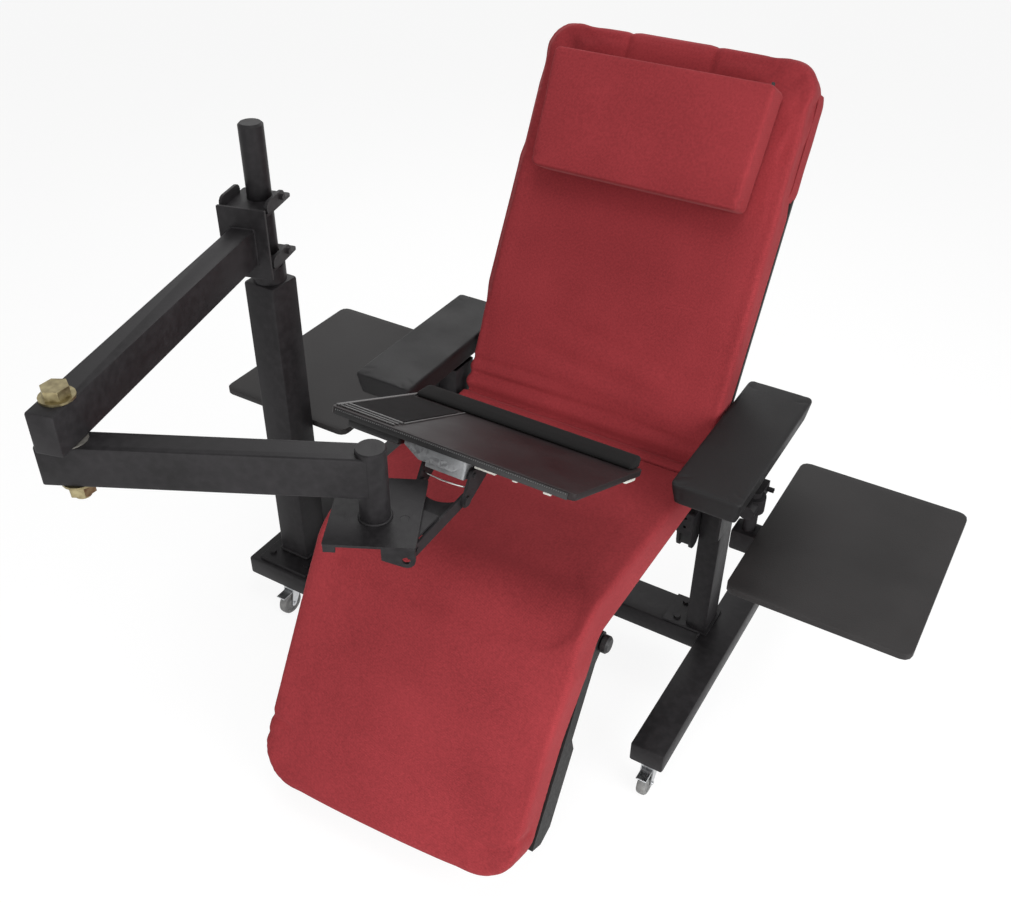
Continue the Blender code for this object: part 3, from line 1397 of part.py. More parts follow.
# Seat: board, two rails with knee and hip holes, cross bars and the tilt lugs
body("seat", (0, TILT_Y, TILT_Z), "base")
board_top = SEAT_LOW - GAP
board_low = board_top - SEAT_BOARD
inner_face = INNER_RAIL_X - RAIL_THICKNESS / 2
outer_face = INNER_RAIL_X + RAIL_THICKNESS / 2
board_half = outer_face - STEP
seat_frame = box(
    "seat_frame", (-board_half, board_half), (SEAT_BOARD_FRONT, SEAT_BOARD_BACK), (board_low, board_top)
)
rail_outline = hull((KNEE_Y, KNEE_Z, SEAT_RAIL_ROUND), (SEAT_RAIL_END, KNEE_Z, SEAT_RAIL_ROUND))
riser_outline = hull((SEAT_RAIL_END, KNEE_Z, HIP_ROUND), (HIP_Y, HIP_Z, HIP_ROUND))
lug_in = inner_cheek + LUG_PLAY
lug_out = outer_cheek - LUG_PLAY
lug_hole = circle(TILT_Y, TILT_Z, TILT_PIN_RADIUS + PIN_PLAY)
lug_middle_z = (LUG_LOW + board_low) / 2
lug_outline = rounded(LUG_DEPTH, board_low - LUG_LOW, LUG_ROUND, 3, (TILT_Y, lug_middle_z))
seat_pieces = []
for sign in (-1, 1):
    x = sign * INNER_RAIL_X
    seat_pieces.append(side_plate("rail", [rail_outline], RAIL_THICKNESS, x))
    seat_pieces.append(side_plate("riser", [riser_outline], RAIL_THICKNESS - STEP, x))
    seat_pieces.append(
        side_plate("lug", [lug_outline, lug_hole], lug_out - lug_in, sign * (lug_in + lug_out) / 2)
    )
    seat_pieces.append(
        box(
            "lug_bar",
            (x, sign * (lug_out - STEP)),
            (STEP + TILT_Y - LUG_DEPTH / 2, TILT_Y + LUG_DEPTH / 2 - STEP),
            (board_low - LUG_BAR, board_low - STEP),
        )
    )
for y in (KNEE_Y + ahead for ahead in SEAT_BARS):
    seat_pieces.append(
        box("bar", (-INNER_RAIL_X, INNER_RAIL_X), (y - SEAT_BAR, y), (SEAT_BAR_LOW, board_low + BITE))
    )
pivots = [
    drum(
        "pivot",
        CHAIR_PIN_RADIUS + PIN_PLAY,
        point + X * sign * (inner_face - REACH),
        point + X * sign * (outer_face + REACH),
        16,
    )
    for point in (KNEE, HIP)
    for sign in (-1, 1)
]
part(cut(join(seat_frame, *seat_pieces), *pivots), "seat", "black_wood")
seat_cushion = loft(
    "seat_cushion",
    HALF_WIDTH,
    CUSHION,
    CUSHION_ROUND,
    CUSHION_CROWN,
    straight(
        Vector((0, KNEE_Y + GAP, SEAT_LOW)), Vector((0, SEAT_BACK, SEAT_LOW)), X, Z, 0, JOINT_ROUND, 7
    ),
)
part(seat_cushion, "seat", "red_fabric")
KNEE_STEPS = 6
knee_gap = GAP / (KNEE_RADIUS - CUSHION)
knee_stations = []
for step in range(KNEE_STEPS + 1):
    angle = knee_gap + (LEG_SLOPE - 2 * knee_gap) * step / KNEE_STEPS
    up = Vector((0, -math.sin(angle), math.cos(angle)))
    knee_stations.append((KNEE + up * (KNEE_RADIUS - CUSHION), X, up, 0, 0))
knee_cushion = loft("knee_cushion", HALF_WIDTH, CUSHION, CUSHION_ROUND, 0, knee_stations)
part(knee_cushion, "seat", "red_fabric")

# Leg rest: two side rails with a deeper lower half, cross bars and knee pins
body("leg", KNEE, "seat")
leg_back = KNEE_RADIUS - CUSHION - GAP
leg_rail_x = outer_face + 2 * GAP + RAIL_THICKNESS / 2
leg_low = leg_back - LEG_RAIL_DEPTH
leg_outline = [
    *arc(LEG_LUG_ROUND, *LEG_LUG_TURN),
    (2 * LEG_LUG_ROUND, leg_low),
    (LEG_DEEP_FROM, leg_low),
    (LEG_DEEP_FROM + LEG_DEEP, leg_low - LEG_DEEP),
    (LEG_RAIL_LENGTH - LEG_DEEP_SHORT, leg_low - LEG_DEEP),
    (LEG_RAIL_LENGTH, leg_low),
    (LEG_RAIL_LENGTH, leg_back),
    (0, leg_back),
]
leg_pieces = []
for sign in (-1, 1):
    x = sign * leg_rail_x
    leg_pieces.append(side_plate("rail", [leg_outline], RAIL_THICKNESS, x, KNEE, LEG, LEG_OUT))
    leg_pieces.append(
        drum("pin", CHAIR_PIN_RADIUS, KNEE + X * sign * inner_face, KNEE + X * x, 16)
    )
leg_frame = leg_pieces.pop(0)
leg_frame.name = "leg_frame"
for along in (*LEG_BARS, LEG_RAIL_LENGTH - END_BAR - SEAT_BAR):
    leg_pieces.append(
        box(
            "bar",
            (-leg_rail_x, leg_rail_x),
            (along, along + SEAT_BAR),
            (leg_back - SEAT_BAR, leg_back - BITE),
            Matrix.Translation(KNEE) @ Matrix((X, LEG, LEG_OUT)).transposed().to_4x4(),
        )
    )
part(join(leg_frame, *leg_pieces), "leg", "black_wood")
leg_start = KNEE + LEG_OUT * (KNEE_RADIUS - CUSHION)
leg_cushion = loft(
    "leg_cushion",
    HALF_WIDTH,
    CUSHION,
    CUSHION_ROUND,
    CUSHION_CROWN,
    straight(leg_start + LEG * GAP, leg_start + LEG * LEG_LENGTH, X, LEG_OUT, 0, END_ROUND, 7),
)
part(leg_cushion, "leg", "red_fabric")
rail_face = leg_rail_x + RAIL_THICKNESS / 2 + GAP
for side, sign in (("left", 1), ("right", -1)):
    knob = drum(
        side + "_knee_knob",
        KNOB_RADIUS,
        KNEE + X * sign * rail_face,
        KNEE + X * sign * (rail_face + KNOB_LENGTH),
        16,
    )
    bevelled(knob, KNOB_EDGE, 1).modifiers["edge"].angle_limit = math.radians(60)
    part(knob, "leg", "black_plastic")

# Backrest: two side rails, cross bars and hip pins behind the cushion
body("back", HIP, "seat")
crease_from_hip = CREASE - HIP
back_foot = crease_from_hip.dot(BACK)
back_face = crease_from_hip.dot(BACK_OUT) - CUSHION
rail_front = back_face - GAP
rail_back = rail_front - RAIL_THICKNESS
back_outline = [
    *arc(HIP_ROUND, *HIP_LUG_TURN),
    (BACK_RAIL_FROM - RAIL_THICKNESS / 2, rail_back),
    (BACK_RAIL_TO, rail_back),
    (BACK_RAIL_TO, rail_front),
    (BACK_RAIL_FROM, rail_front),
]
back_pieces = []
for sign in (-1, 1):
    x = sign * leg_rail_x
    back_pieces.append(side_plate("rail", [back_outline], RAIL_THICKNESS, x, HIP, BACK, BACK_OUT))
    back_pieces.append(drum("pin", CHAIR_PIN_RADIUS, HIP + X * sign * inner_face, HIP + X * x, 16))
back_frame = back_pieces.pop(0)
back_frame.name = "back_frame"
for along in (*BACK_BARS, BACK_RAIL_TO - END_BAR - SEAT_BAR):
    back_pieces.append(
        box(
            "bar",
            (-leg_rail_x, leg_rail_x),
            (along, along + SEAT_BAR),
            (rail_back + BITE, rail_front - BITE),
            Matrix.Translation(HIP) @ Matrix((X, BACK, BACK_OUT)).transposed().to_4x4(),
        )
    )
part(join(back_frame, *back_pieces), "back", "black_wood")
back_start = CREASE - BACK_OUT * CUSHION
back_cushion = loft(
    "back_cushion",
    HALF_WIDTH,
    CUSHION,
    CUSHION_ROUND,
    BACK_CROWN,
    straight(
        back_start + BACK * GAP, back_start + BACK * BACK_LENGTH, X, BACK_OUT, JOINT_ROUND, END_ROUND, 9
    ),
)
part(back_cushion, "back", "red_fabric")

# The head pillow rests on the back's crown and slides along it
pillow_foot = CREASE + BACK * (PILLOW_CENTRE - PILLOW_HEIGHT / 2) + BACK_OUT * (BACK_CROWN + GAP)
body("pillow", pillow_foot, "back")
pillow = loft(
    "head_pillow",
    PILLOW_WIDTH / 2,
    PILLOW_DEPTH - PILLOW_CROWN,
    PILLOW_ROUND,
    PILLOW_CROWN,
    straight(
        pillow_foot, pillow_foot + BACK * PILLOW_HEIGHT, X, BACK_OUT, PILLOW_ROUND, PILLOW_ROUND, 5
    ),
)
part(pillow, "pillow", "red_fabric")

# The origin goes to the middle of the object's plan, on the floor
bpy.context.view_layer.update()
graph = bpy.context.evaluated_depsgraph_get()
low = Vector((math.inf, math.inf, math.inf))
high = -low
for obj in parts.objects:
    if obj.type == "MESH":
        shaped = obj.evaluated_get(graph)
        for corner in shaped.bound_box:
            point = shaped.matrix_world @ Vector(corner)
            low = Vector(map(min, low, point))
            high = Vector(map(max, high, point))
empties["base"].location = Vector((-(low.x + high.x) / 2, -(low.y + high.y) / 2, -low.z))
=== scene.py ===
import json
import math

import bmesh
import bpy
from mathutils import Matrix, Vector
from mathutils.bvhtree import BVHTree


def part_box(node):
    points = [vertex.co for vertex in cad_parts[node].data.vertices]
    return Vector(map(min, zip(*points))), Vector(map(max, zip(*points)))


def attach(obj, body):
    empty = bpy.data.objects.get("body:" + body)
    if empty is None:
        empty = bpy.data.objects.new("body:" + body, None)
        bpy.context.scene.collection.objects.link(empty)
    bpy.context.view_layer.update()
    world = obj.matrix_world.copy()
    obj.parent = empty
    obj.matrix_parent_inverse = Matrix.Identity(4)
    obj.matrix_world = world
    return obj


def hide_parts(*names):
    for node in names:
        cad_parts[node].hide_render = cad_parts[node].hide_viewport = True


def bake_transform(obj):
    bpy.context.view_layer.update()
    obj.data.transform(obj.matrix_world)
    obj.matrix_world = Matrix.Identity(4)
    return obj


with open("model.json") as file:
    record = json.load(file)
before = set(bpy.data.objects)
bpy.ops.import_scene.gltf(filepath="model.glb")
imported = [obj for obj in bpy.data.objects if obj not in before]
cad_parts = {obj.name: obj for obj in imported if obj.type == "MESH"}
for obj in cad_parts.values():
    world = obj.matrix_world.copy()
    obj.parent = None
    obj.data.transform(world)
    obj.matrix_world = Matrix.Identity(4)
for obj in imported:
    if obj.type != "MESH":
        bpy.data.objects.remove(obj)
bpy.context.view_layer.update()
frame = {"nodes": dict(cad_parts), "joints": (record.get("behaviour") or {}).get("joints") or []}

# Viewpoint of the photograph. The camera was fitted to the straight edges of the base, the trays and the
# arms, and stands in front of the chair, to the sitter's left and above.
scene = bpy.context.scene
scene.view_settings.view_transform = "Standard"
AZIMUTH = math.radians(30.33)
ELEVATION = math.radians(36.21)
ROLL = math.radians(0.73)
VIEWPOINT = Vector((0.90625, -1.53931, 2.00088))
LENS_PX = 1099.2
IMAGE_PX = 1011
SENSOR_MM = 36.0
VIEW_DEPTH = 60.0
towards = Vector((
    math.sin(AZIMUTH) * math.cos(ELEVATION), -math.cos(AZIMUTH) * math.cos(ELEVATION), math.sin(ELEVATION),
))
level = Vector((math.cos(AZIMUTH), math.sin(AZIMUTH), 0.0))
upward = towards.cross(level)
across = level * math.cos(ROLL) + upward * math.sin(ROLL)
above = upward * math.cos(ROLL) - level * math.sin(ROLL)
view = bpy.data.cameras.new("photo_view")
view.sensor_fit = "HORIZONTAL"
view.sensor_width = SENSOR_MM
view.lens = LENS_PX * SENSOR_MM / IMAGE_PX
view.clip_end = VIEW_DEPTH
camera = bpy.data.objects.new("photo_view", view)
turned = Matrix((across, above, towards)).transposed().to_4x4()
camera.matrix_world = Matrix.Translation(VIEWPOINT) @ turned
scene.collection.objects.link(camera)
scene.camera = camera

# Studio: an endless pale floor, soft light from all round, and large lamps overhead, behind, on the sitter's
# left and in front. Floor and world look white to the camera and in gloss, and the floor keeps the shadow.


class Wire:
    """A socket in a finish. Sums and products of wires add the Math nodes that they need."""

    def __init__(self, finish, socket):
        self.finish = finish
        self.socket = socket

    def math(self, operation, other=0.0):
        return self.finish.node("ShaderNodeMath", {"operation": operation}, {0: self, 1: other})

    def __add__(self, other):
        return self.math("ADD", other)

    def __mul__(self, other):
        return self.math("MULTIPLY", other)

    __radd__ = __add__
    __rmul__ = __mul__


class Finish:
    """The node tree of one finish, of the studio's world or of a modifier."""

    def __init__(self, owner, tree=None):
        self.owner = owner
        if tree is None:
            owner.use_nodes = True
            tree = owner.node_tree
        self.tree = tree
        tree.nodes.clear()

    def node(self, kind, settings=None, sockets=None, out=0):
        """Add a node: its type, its settings, the values or wires of its sockets, and the output wanted."""
        made = self.tree.nodes.new(kind)
        for key, value in (settings or {}).items():
            setattr(made, key, value)
        for key, value in (sockets or {}).items():
            if isinstance(value, Wire):
                self.tree.links.new(value.socket, made.inputs[key])
            else:
                made.inputs[key].default_value = value
        return Wire(self, made.outputs[out]) if len(made.outputs) else made

    def place(self):
        return self.node("ShaderNodeTexCoord", out=3)

    def noise(self, scale, detail, stretch=(1.0, 1.0, 1.0)):
        """Noise over the piece, between 0 and 1 and mostly near a half."""
        place = self.node("ShaderNodeMapping", {}, {"Vector": self.place(), "Scale": stretch})
        return self.node("ShaderNodeTexNoise", {}, {"Vector": place, "Scale": scale, "Detail": detail})

    def cells(self, scale, feature="F1", out=0):
        """A pattern of small cells over the piece."""
        sockets = {"Vector": self.place(), "Scale": scale}
        return self.node("ShaderNodeTexVoronoi", {"feature": feature}, sockets, out)

    def ramp(self, wire, low=0.3, high=0.7):
        """Stretch a wire so that low gives 0 and high gives 1."""
        limits = {"Value": wire, "From Min": low, "From Max": high}
        return self.node("ShaderNodeMapRange", {"clamp": True}, limits)

    def patches(self, scale, detail, low=0.3, high=0.7, stretch=(1.0, 1.0, 1.0)):
        """Soft patches: noise stretched to its full range."""
        return self.ramp(self.noise(scale, detail, stretch), low, high)

    def blend(self, share, first, second):
        """A colour between two colours."""
        colours = {0: share, 6: (*first, 1.0), 7: (*second, 1.0)}
        return self.node("ShaderNodeMix", {"data_type": "RGBA"}, colours, out=2)

    def bump(self, height, depth, strength):
        """A normal for a surface with this relief, its depth in metres."""
        return self.node("ShaderNodeBump", {}, {"Height": height, "Distance": depth, "Strength": strength})

    def shell(self, **sockets):
        """Close the finish with one shader. Socket names have their spaces as underscores."""
        named = {key.replace("_", " "): value for key, value in sockets.items()}
        skin = self.node("ShaderNodeBsdfPrincipled", {}, named)
        self.node("ShaderNodeOutputMaterial", {}, {"Surface": skin})
        return self.owner


def material(name):
    return Finish(bpy.data.materials.new(name))


def seen(finish):
    """1 for camera, gloss and glass rays and 0 for the light that falls on the chair."""
    direct, gloss, glass = (finish.node("ShaderNodeLightPath", out=ray) for ray in (0, 3, 6))
    return direct.math("MAXIMUM", gloss).math("MAXIMUM", glass)


WHITE = (1.0, 1.0, 1.0, 1.0)
SKY_LIGHT = 0.22
FLOOR_SIZE = 400.0
FLOOR_WHITE = 0.80
FLOOR_GLOW = 1.11
sky = Finish(bpy.data.worlds.new("studio"))
soft_sky = sky.node("ShaderNodeBackground", {}, {"Color": WHITE, "Strength": SKY_LIGHT})
white_sky = sky.node("ShaderNodeBackground", {}, {"Color": WHITE, "Strength": 1.0})
both = sky.node("ShaderNodeMixShader", {}, {0: seen(sky), 1: soft_sky, 2: white_sky})
sky.node("ShaderNodeOutputWorld", {}, {"Surface": both})
scene.world = sky.owner

pale = material("pale_floor")
paper = pale.node("ShaderNodeBsdfPrincipled", {}, {
    "Base Color": pale.blend(pale.noise(1.5, 3.0), (0.86, 0.86, 0.86), (0.9, 0.9, 0.9)),
    "Roughness": 0.9,
    "Specular IOR Level": 0.1,
})
glow = pale.node("ShaderNodeEmission", {}, {"Color": WHITE, "Strength": FLOOR_GLOW})
mixed = pale.node("ShaderNodeMixShader", {}, {0: seen(pale) * FLOOR_WHITE, 1: paper, 2: glow})
pale.node("ShaderNodeOutputMaterial", {}, {"Surface": mixed})


def piece(name, form, finish, body=None, smooth=30.0):
    """Turn a bmesh into a piece of the chair, with rounded shading up to an angle, riding on its body."""
    bmesh.ops.remove_doubles(form, verts=form.verts, dist=1e-6)
    if body:
        bmesh.ops.recalc_face_normals(form, faces=form.faces)
    for edge in form.edges:
        edge.smooth = len(edge.link_faces) == 2 and edge.calc_face_angle(0.0) < math.radians(smooth)
    for face in form.faces:
        face.smooth = True
    mesh = bpy.data.meshes.new(name)
    form.to_mesh(mesh)
    form.free()
    mesh.materials.append(finish)
    made = bpy.data.objects.new(name, mesh)
    scene.collection.objects.link(made)
    if body:
        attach(made, body)
    return made


work = bmesh.new()
bmesh.ops.create_grid(work, x_segments=4, y_segments=4, size=FLOOR_SIZE / 2)
piece("floor", work, pale.owner)


def lamp(name, place, target, width, watts):
    """A large square soft lamp that faces the chair."""
    light = bpy.data.lights.new(name, "AREA")
    light.size = width
    light.energy = watts
    made = bpy.data.objects.new(name, light)
    aim = (Vector(target) - Vector(place)).to_track_quat("-Z", "Y")
    made.matrix_world = Matrix.Translation(place) @ aim.to_matrix().to_4x4()
    scene.collection.objects.link(made)


lamp("top", (0.5, -0.7, 3.3), (0.0, 0.1, 0.6), 1.1, 18.0)
lamp("rear", (-1.0, 1.8, 2.8), (0.0, 0.0, 0.5), 1.8, 30.0)
lamp("left_side", (2.7, -0.75, 1.6), (0.0, 0.0, 0.5), 2.0, 64.0)
lamp("front", (0.3, -2.4, 0.8), (0.0, 0.0, 0.5), 1.8, 26.0)

# Base: two rails of box tube with a cross beam between them, the bolted uprights, the mast with its foot
# plate and rod, and the brackets. All of it is welded steel with a satin black powder coat.
paint = material("black_paint")
cloudy = paint.patches(7.0, 4.0)
dusty = paint.patches(70.0, 6.0, 0.4, 0.75)
black_paint = paint.shell(
    Base_Color=paint.blend(cloudy * 0.5 + dusty * 0.5, (0.013, 0.0122, 0.013), (0.030, 0.028, 0.030)),
    Roughness=0.36 + cloudy * 0.1 + dusty * 0.12,
    Normal=paint.bump(paint.noise(700.0, 1.0), 0.0003, 0.35),
    Specular_IOR_Level=0.13,
)

SHARP = math.radians(33.0)
rounding = bpy.data.node_groups.new("round_shading", "GeometryNodeTree")
for way in ("INPUT", "OUTPUT"):
    rounding.interface.new_socket("Geometry", in_out=way, socket_type="NodeSocketGeometry")
shading = Finish(rounding, rounding)
skin = shading.node("NodeGroupInput")
skin = shading.node("GeometryNodeMergeByDistance", {}, {"Geometry": skin, "Distance": 1e-5})
skin = shading.node("GeometryNodeSetShadeSmooth", {}, {"Geometry": skin})
angle = shading.node("GeometryNodeInputMeshEdgeAngle")
sharp = shading.node("FunctionNodeCompare", {"operation": "GREATER_THAN"}, {0: angle, 1: SHARP})
creased = {"Geometry": skin, "Selection": sharp, "Shade Smooth": False}
skin = shading.node("GeometryNodeSetShadeSmooth", {"domain": "EDGE"}, creased)
shading.node("NodeGroupOutput", {}, {0: skin})


def dress(finish, *names):
    """Give solids of the frame their finish and rounded shading."""
    for name in names:
        solid = frame["nodes"][name]
        if not solid.material_slots:
            solid.data.materials.append(finish)
        for held in solid.material_slots:
            held.link = "OBJECT"
            held.material = finish
        solid.modifiers.new("round_shading", "NODES").node_group = rounding


dress(
    black_paint,
    "left_rail", "right_rail", "cross_beam", "left_upright", "right_upright", "left_pivot_bracket",
    "right_pivot_bracket", "left_arm_plate", "right_arm_plate", "left_tray_clamp", "right_tray_clamp",
    "mast_foot_plate", "mast_tube", "mast_rod", "thrust_collar",
)

# Casters: zinc plated pressed forks on swivel stems, grey tyres on a hub, and a brake pedal on each of the
# two front ones.
zinc = material("bright_zinc")
spangle = zinc.patches(140.0, 2.0, 0.35, 0.65)
dull = zinc.patches(18.0, 4.0)
bright_zinc = zinc.shell(
    Base_Color=zinc.blend(spangle * 0.5 + dull * 0.5, (0.42, 0.43, 0.44), (0.62, 0.63, 0.64)),
    Roughness=0.24 + dull * 0.16 + spangle * 0.06,
    Metallic=1.0,
    Normal=zinc.bump(spangle, 0.0002, 0.2),
)


def coat(name, patch, dark, light, rough, relief, **constants):
    """A finish with patches that shade it between two colours and dull it. rough is its least roughness and
    what the patches add; relief is its depth, its strength and the pattern, which is else the patches."""
    made = material(name)
    patches = made.patches(*patch)
    depth, strength, *pattern = relief
    height = getattr(made, pattern[0])(*pattern[1:]) if pattern else patches
    return made.shell(
        Base_Color=made.blend(patches, dark, light),
        Roughness=rough[0] + patches * rough[1],
        Normal=made.bump(height, depth, strength),
        **constants,
    )


grey_rubber = coat(
    "grey_rubber", (55.0, 5.0, 0.35), (0.17, 0.17, 0.17), (0.28, 0.28, 0.27), rough=(0.55, 0.2),
    relief=(0.0003, 0.4, "noise", 400.0, 3.0),
)
CORNERS = ("front_left", "back_left", "front_right", "back_right")
WHEEL_BORE = 0.0055
WHEEL_STEPS = 48
# From the hub out to the tread, in shares of half the width and of the radius.
WHEEL_SIDE = ((1.0, 0.3), (0.7, 0.36), (0.7, 0.66), (0.92, 0.72), (0.92, 0.9), (0.72, 0.97), (0.3, 1.0))
dress(bright_zinc, *(corner + "_fork" for corner in CORNERS), "front_left_pedal", "front_right_pedal")
for corner in CORNERS:
    low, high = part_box(corner + "_wheel")
    hub = (low + high) / 2
    half, radius = (high.x - low.x) / 2, (high.z - low.z) / 2
    wall = [(half, WHEEL_BORE)] + [(half * out, radius * up) for out, up in WHEEL_SIDE]
    profile = [(-out, up) for out, up in wall] + wall[::-1] + [(-half, WHEEL_BORE)]
    axle = Vector((1, 0, 0))
    spoke = axle.orthogonal().normalized()
    work = bmesh.new()
    points = [work.verts.new(hub + axle * out + spoke * up) for out, up in profile]
    edges = [work.edges.new(pair) for pair in zip(points, points[1:])]
    bmesh.ops.spin(
        work, geom=points + edges, cent=hub, axis=axle, dvec=(0, 0, 0), angle=math.tau, steps=WHEEL_STEPS,
        use_merge=True,
    )
    tyred = piece(corner + "_tyre", work, grey_rubber, corner + "_wheel")
    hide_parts(corner + "_wheel")

# Armrest pads: a crowned foam pad under black vinyl, pulled round its edges and tucked at both ends, and
# screwed to the plate from below.
vinyl = material("black_vinyl")
pores = vinyl.cells(620.0)
rubbed = vinyl.patches(11.0, 4.0, 0.35)
black_vinyl = vinyl.shell(
    Base_Color=vinyl.blend(rubbed, (0.0065, 0.006, 0.0065), (0.012, 0.0115, 0.012)),
    Roughness=0.46 + rubbed * 0.14 + pores * 0.08,
    Normal=vinyl.bump(pores * 0.7 + vinyl.noise(90.0, 3.0) * 0.5, 0.0005, 0.45),
    Specular_IOR_Level=0.22,
)
NEAR = 1e-6


def rounded(form, edges, radius, segments=2, clamp=False):
    """Round edges of a bmesh and give the new points."""
    return bmesh.ops.bevel(
        form, geom=edges, offset=radius, offset_type="OFFSET", affect="EDGES", segments=segments,
        profile=0.5, material=-1, clamp_overlap=clamp,
    )["verts"]


def slab(width, length, thickness, corner, top_round, low_round, sewn=False):
    """A padded blank: x across, y from 0 along it, top at z = 0. A sewn one keeps its near end square."""
    form = bmesh.new()
    bmesh.ops.create_cube(form, size=1.0)
    bmesh.ops.translate(form, vec=(0, 0.5, -0.5), verts=form.verts)
    bmesh.ops.scale(form, vec=(width, length, thickness), verts=form.verts)

    def free(edge):
        return not sewn or max(v.co.y for v in edge.verts) > NEAR

    upright = [e for e in form.edges if abs(e.verts[0].co.z - e.verts[1].co.z) > thickness / 2 and free(e)]
    rounded(form, upright, corner, 6)
    for height, radius, segments in ((0.0, top_round, 4), (-thickness, low_round, 2)):
        rim = [e for e in form.edges if all(abs(v.co.z - height) < NEAR for v in e.verts) and free(e)]
        rounded(form, rim, radius, segments)
    return form


SIM_FRAMES = 20
CLOTH_SETTINGS = {
    "quality": 4, "mass": 0.3, "tension_stiffness": 40.0, "compression_stiffness": 40.0,
    "shear_stiffness": 10.0, "use_pressure": True, "vertex_group_mass": "held",
}


def as_mesh(made):
    """The mesh of an object with its modifiers applied."""
    return bpy.data.meshes.new_from_object(made.evaluated_get(bpy.context.evaluated_depsgraph_get()))


def stuffed(name, form, voxel, cap, held, stiff, evened, fill=4.0):
    """Sew a blank closed, stuff it until it swells, up to a cap, and keep it still where held(point) says."""
    mesh = bpy.data.meshes.new(name)
    form.to_mesh(mesh)
    form.free()
    blank = bpy.data.objects.new(name, mesh)
    scene.collection.objects.link(blank)
    close = blank.modifiers.new("close", "REMESH")
    close.mode = "VOXEL"
    close.voxel_size = voxel
    shape = as_mesh(blank)
    blank.modifiers.clear()
    blank.data = shape
    start = [v.co.copy() for v in shape.vertices]
    pins = blank.vertex_groups.new(name="held")
    pins.add([i for i, p in enumerate(start) if held(p)], 1.0, "REPLACE")
    cloth = blank.modifiers.new("cloth", "CLOTH")
    for key, value in CLOTH_SETTINGS.items():
        setattr(cloth.settings, key, value)
    cloth.settings.bending_stiffness = stiff
    cloth.settings.uniform_pressure_force = fill
    cloth.settings.effector_weights.gravity = 0.0
    cloth.collision_settings.use_collision = False
    cloth.point_cache.frame_start = 1
    cloth.point_cache.frame_end = SIM_FRAMES
    for step in range(1, SIM_FRAMES + 1):
        scene.frame_set(step)
    blown = as_mesh(blank)
    blank.modifiers.clear()
    blank.vertex_groups.clear()
    scene.frame_set(1)
    for vertex, was, after in zip(shape.vertices, start, blown.vertices):
        move = after.co - was
        vertex.co = was + move * min(1.0, cap / max(move.length, 1e-9))
    bpy.data.meshes.remove(blown)
    even = bmesh.new()
    even.from_mesh(shape)
    for _ in range(evened):
        bmesh.ops.smooth_vert(
            even, verts=even.verts, factor=0.5, use_axis_x=True, use_axis_y=True, use_axis_z=True,
        )
    for face in even.faces:
        face.smooth = True
    even.to_mesh(shape)
    even.free()
    return blank


FOLD_DEEP = 0.04
FOLD_REACH = 3.0
FADE_INSIDE = 0.29


def within(value, low=0.0, high=1.0):
    return min(max(value, low), high)


def folded(soft, lay, folds):
    """Press folds into a soft piece. lay(point) gives (across, along, depth) on the cover; a fold is its two
    ends on the cover, its half width and its height, which is negative for a valley. An end that lies nearer
    the middle than FADE_INSIDE runs out softly."""
    normals = [v.normal.copy() for v in soft.data.vertices]
    for vertex, normal in zip(soft.data.vertices, normals):
        u, l, deep = lay(vertex.co)
        if deep > FOLD_DEEP:
            continue
        lift = 0.0
        for (u0, l0), (u1, l1), wide, tall in folds:
            run = Vector((u1 - u0, l1 - l0))
            share = within(Vector((u - u0, l - l0)).dot(run) / run.length_squared)
            away = math.hypot(u - u0 - run.x * share, l - l0 - run.y * share)
            if away < FOLD_REACH * wide:
                fade = (1.0 - share ** 4) if abs(u1) < FADE_INSIDE else 1.0
                fade *= (1.0 - (1.0 - share) ** 4) if abs(u0) < FADE_INSIDE else 1.0
                lift += tall * fade * math.exp(-((away / wide) ** 2))
        vertex.co += normal * lift


def upholstered(soft, finish, solids, body=None):
    """Finish a soft piece with its cloth and one subdivision, put it on its body and hide the solids it
    covers.
    """
    soft.data.materials.append(finish)
    fine = soft.modifiers.new("round_off", "SUBSURF")
    fine.levels = 1
    fine.render_levels = 1
    if body:
        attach(soft, body)
    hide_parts(*solids)


PAD_VOXEL = 0.0045
PAD_UNDERCUT = 0.009
PAD_PROUD = 0.003
PAD_CROWN = 0.001
PAD_WAIST = 0.022
PAD_TUCK = (0.0035, -0.002)
for side in ("left", "right"):
    low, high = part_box(side + "_arm_pad")
    size = high - low
    middle = (low.x + high.x) / 2
    long = size.y + 2 * PAD_PROUD
    wide = size.x + 2 * PAD_PROUD
    blank = slab(wide, long, size.z - PAD_CROWN, 0.009, 0.005, 0.004)
    for v in blank.verts:
        x, y, z = v.co
        under = PAD_UNDERCUT * (-z / size.z) ** 1.5
        x *= (1.0 - PAD_WAIST * math.sin(math.pi * y / long)) * (1.0 - 2 * under / wide)
        y = long / 2 + (y - long / 2) * (1.0 - 2 * under / long)
        v.co = Vector((middle + x, low.y - PAD_PROUD + y, high.z - PAD_CROWN + z))

    def pad_held(p):
        rim = min(p.x - low.x, high.x - p.x, p.y - low.y, high.y - p.y)
        return p.z < low.z + 0.02 or (rim < 0.008 and p.z > high.z - 0.012)

    def pad_lay(p):
        return p.x - middle, p.y - low.y, high.z - p.z

    pad = stuffed(side + "_vinyl_pad", blank, PAD_VOXEL, 0.006, pad_held, stiff=8.0, evened=1)
    tucks = []
    for edge in (-size.x, size.x):
        for end, way in ((0.0, 1), (size.y, -1)):
            tucks.append(((edge * 0.5, end + way * 0.02), (edge * 0.3, end + way * 0.035), *PAD_TUCK))
            tucks.append(((edge * 0.4, end), (edge * 0.28, end + way * 0.012), *PAD_TUCK))
    folded(pad, pad_lay, tucks)
    upholstered(pad, black_vinyl, [side + "_arm_pad"], "base")

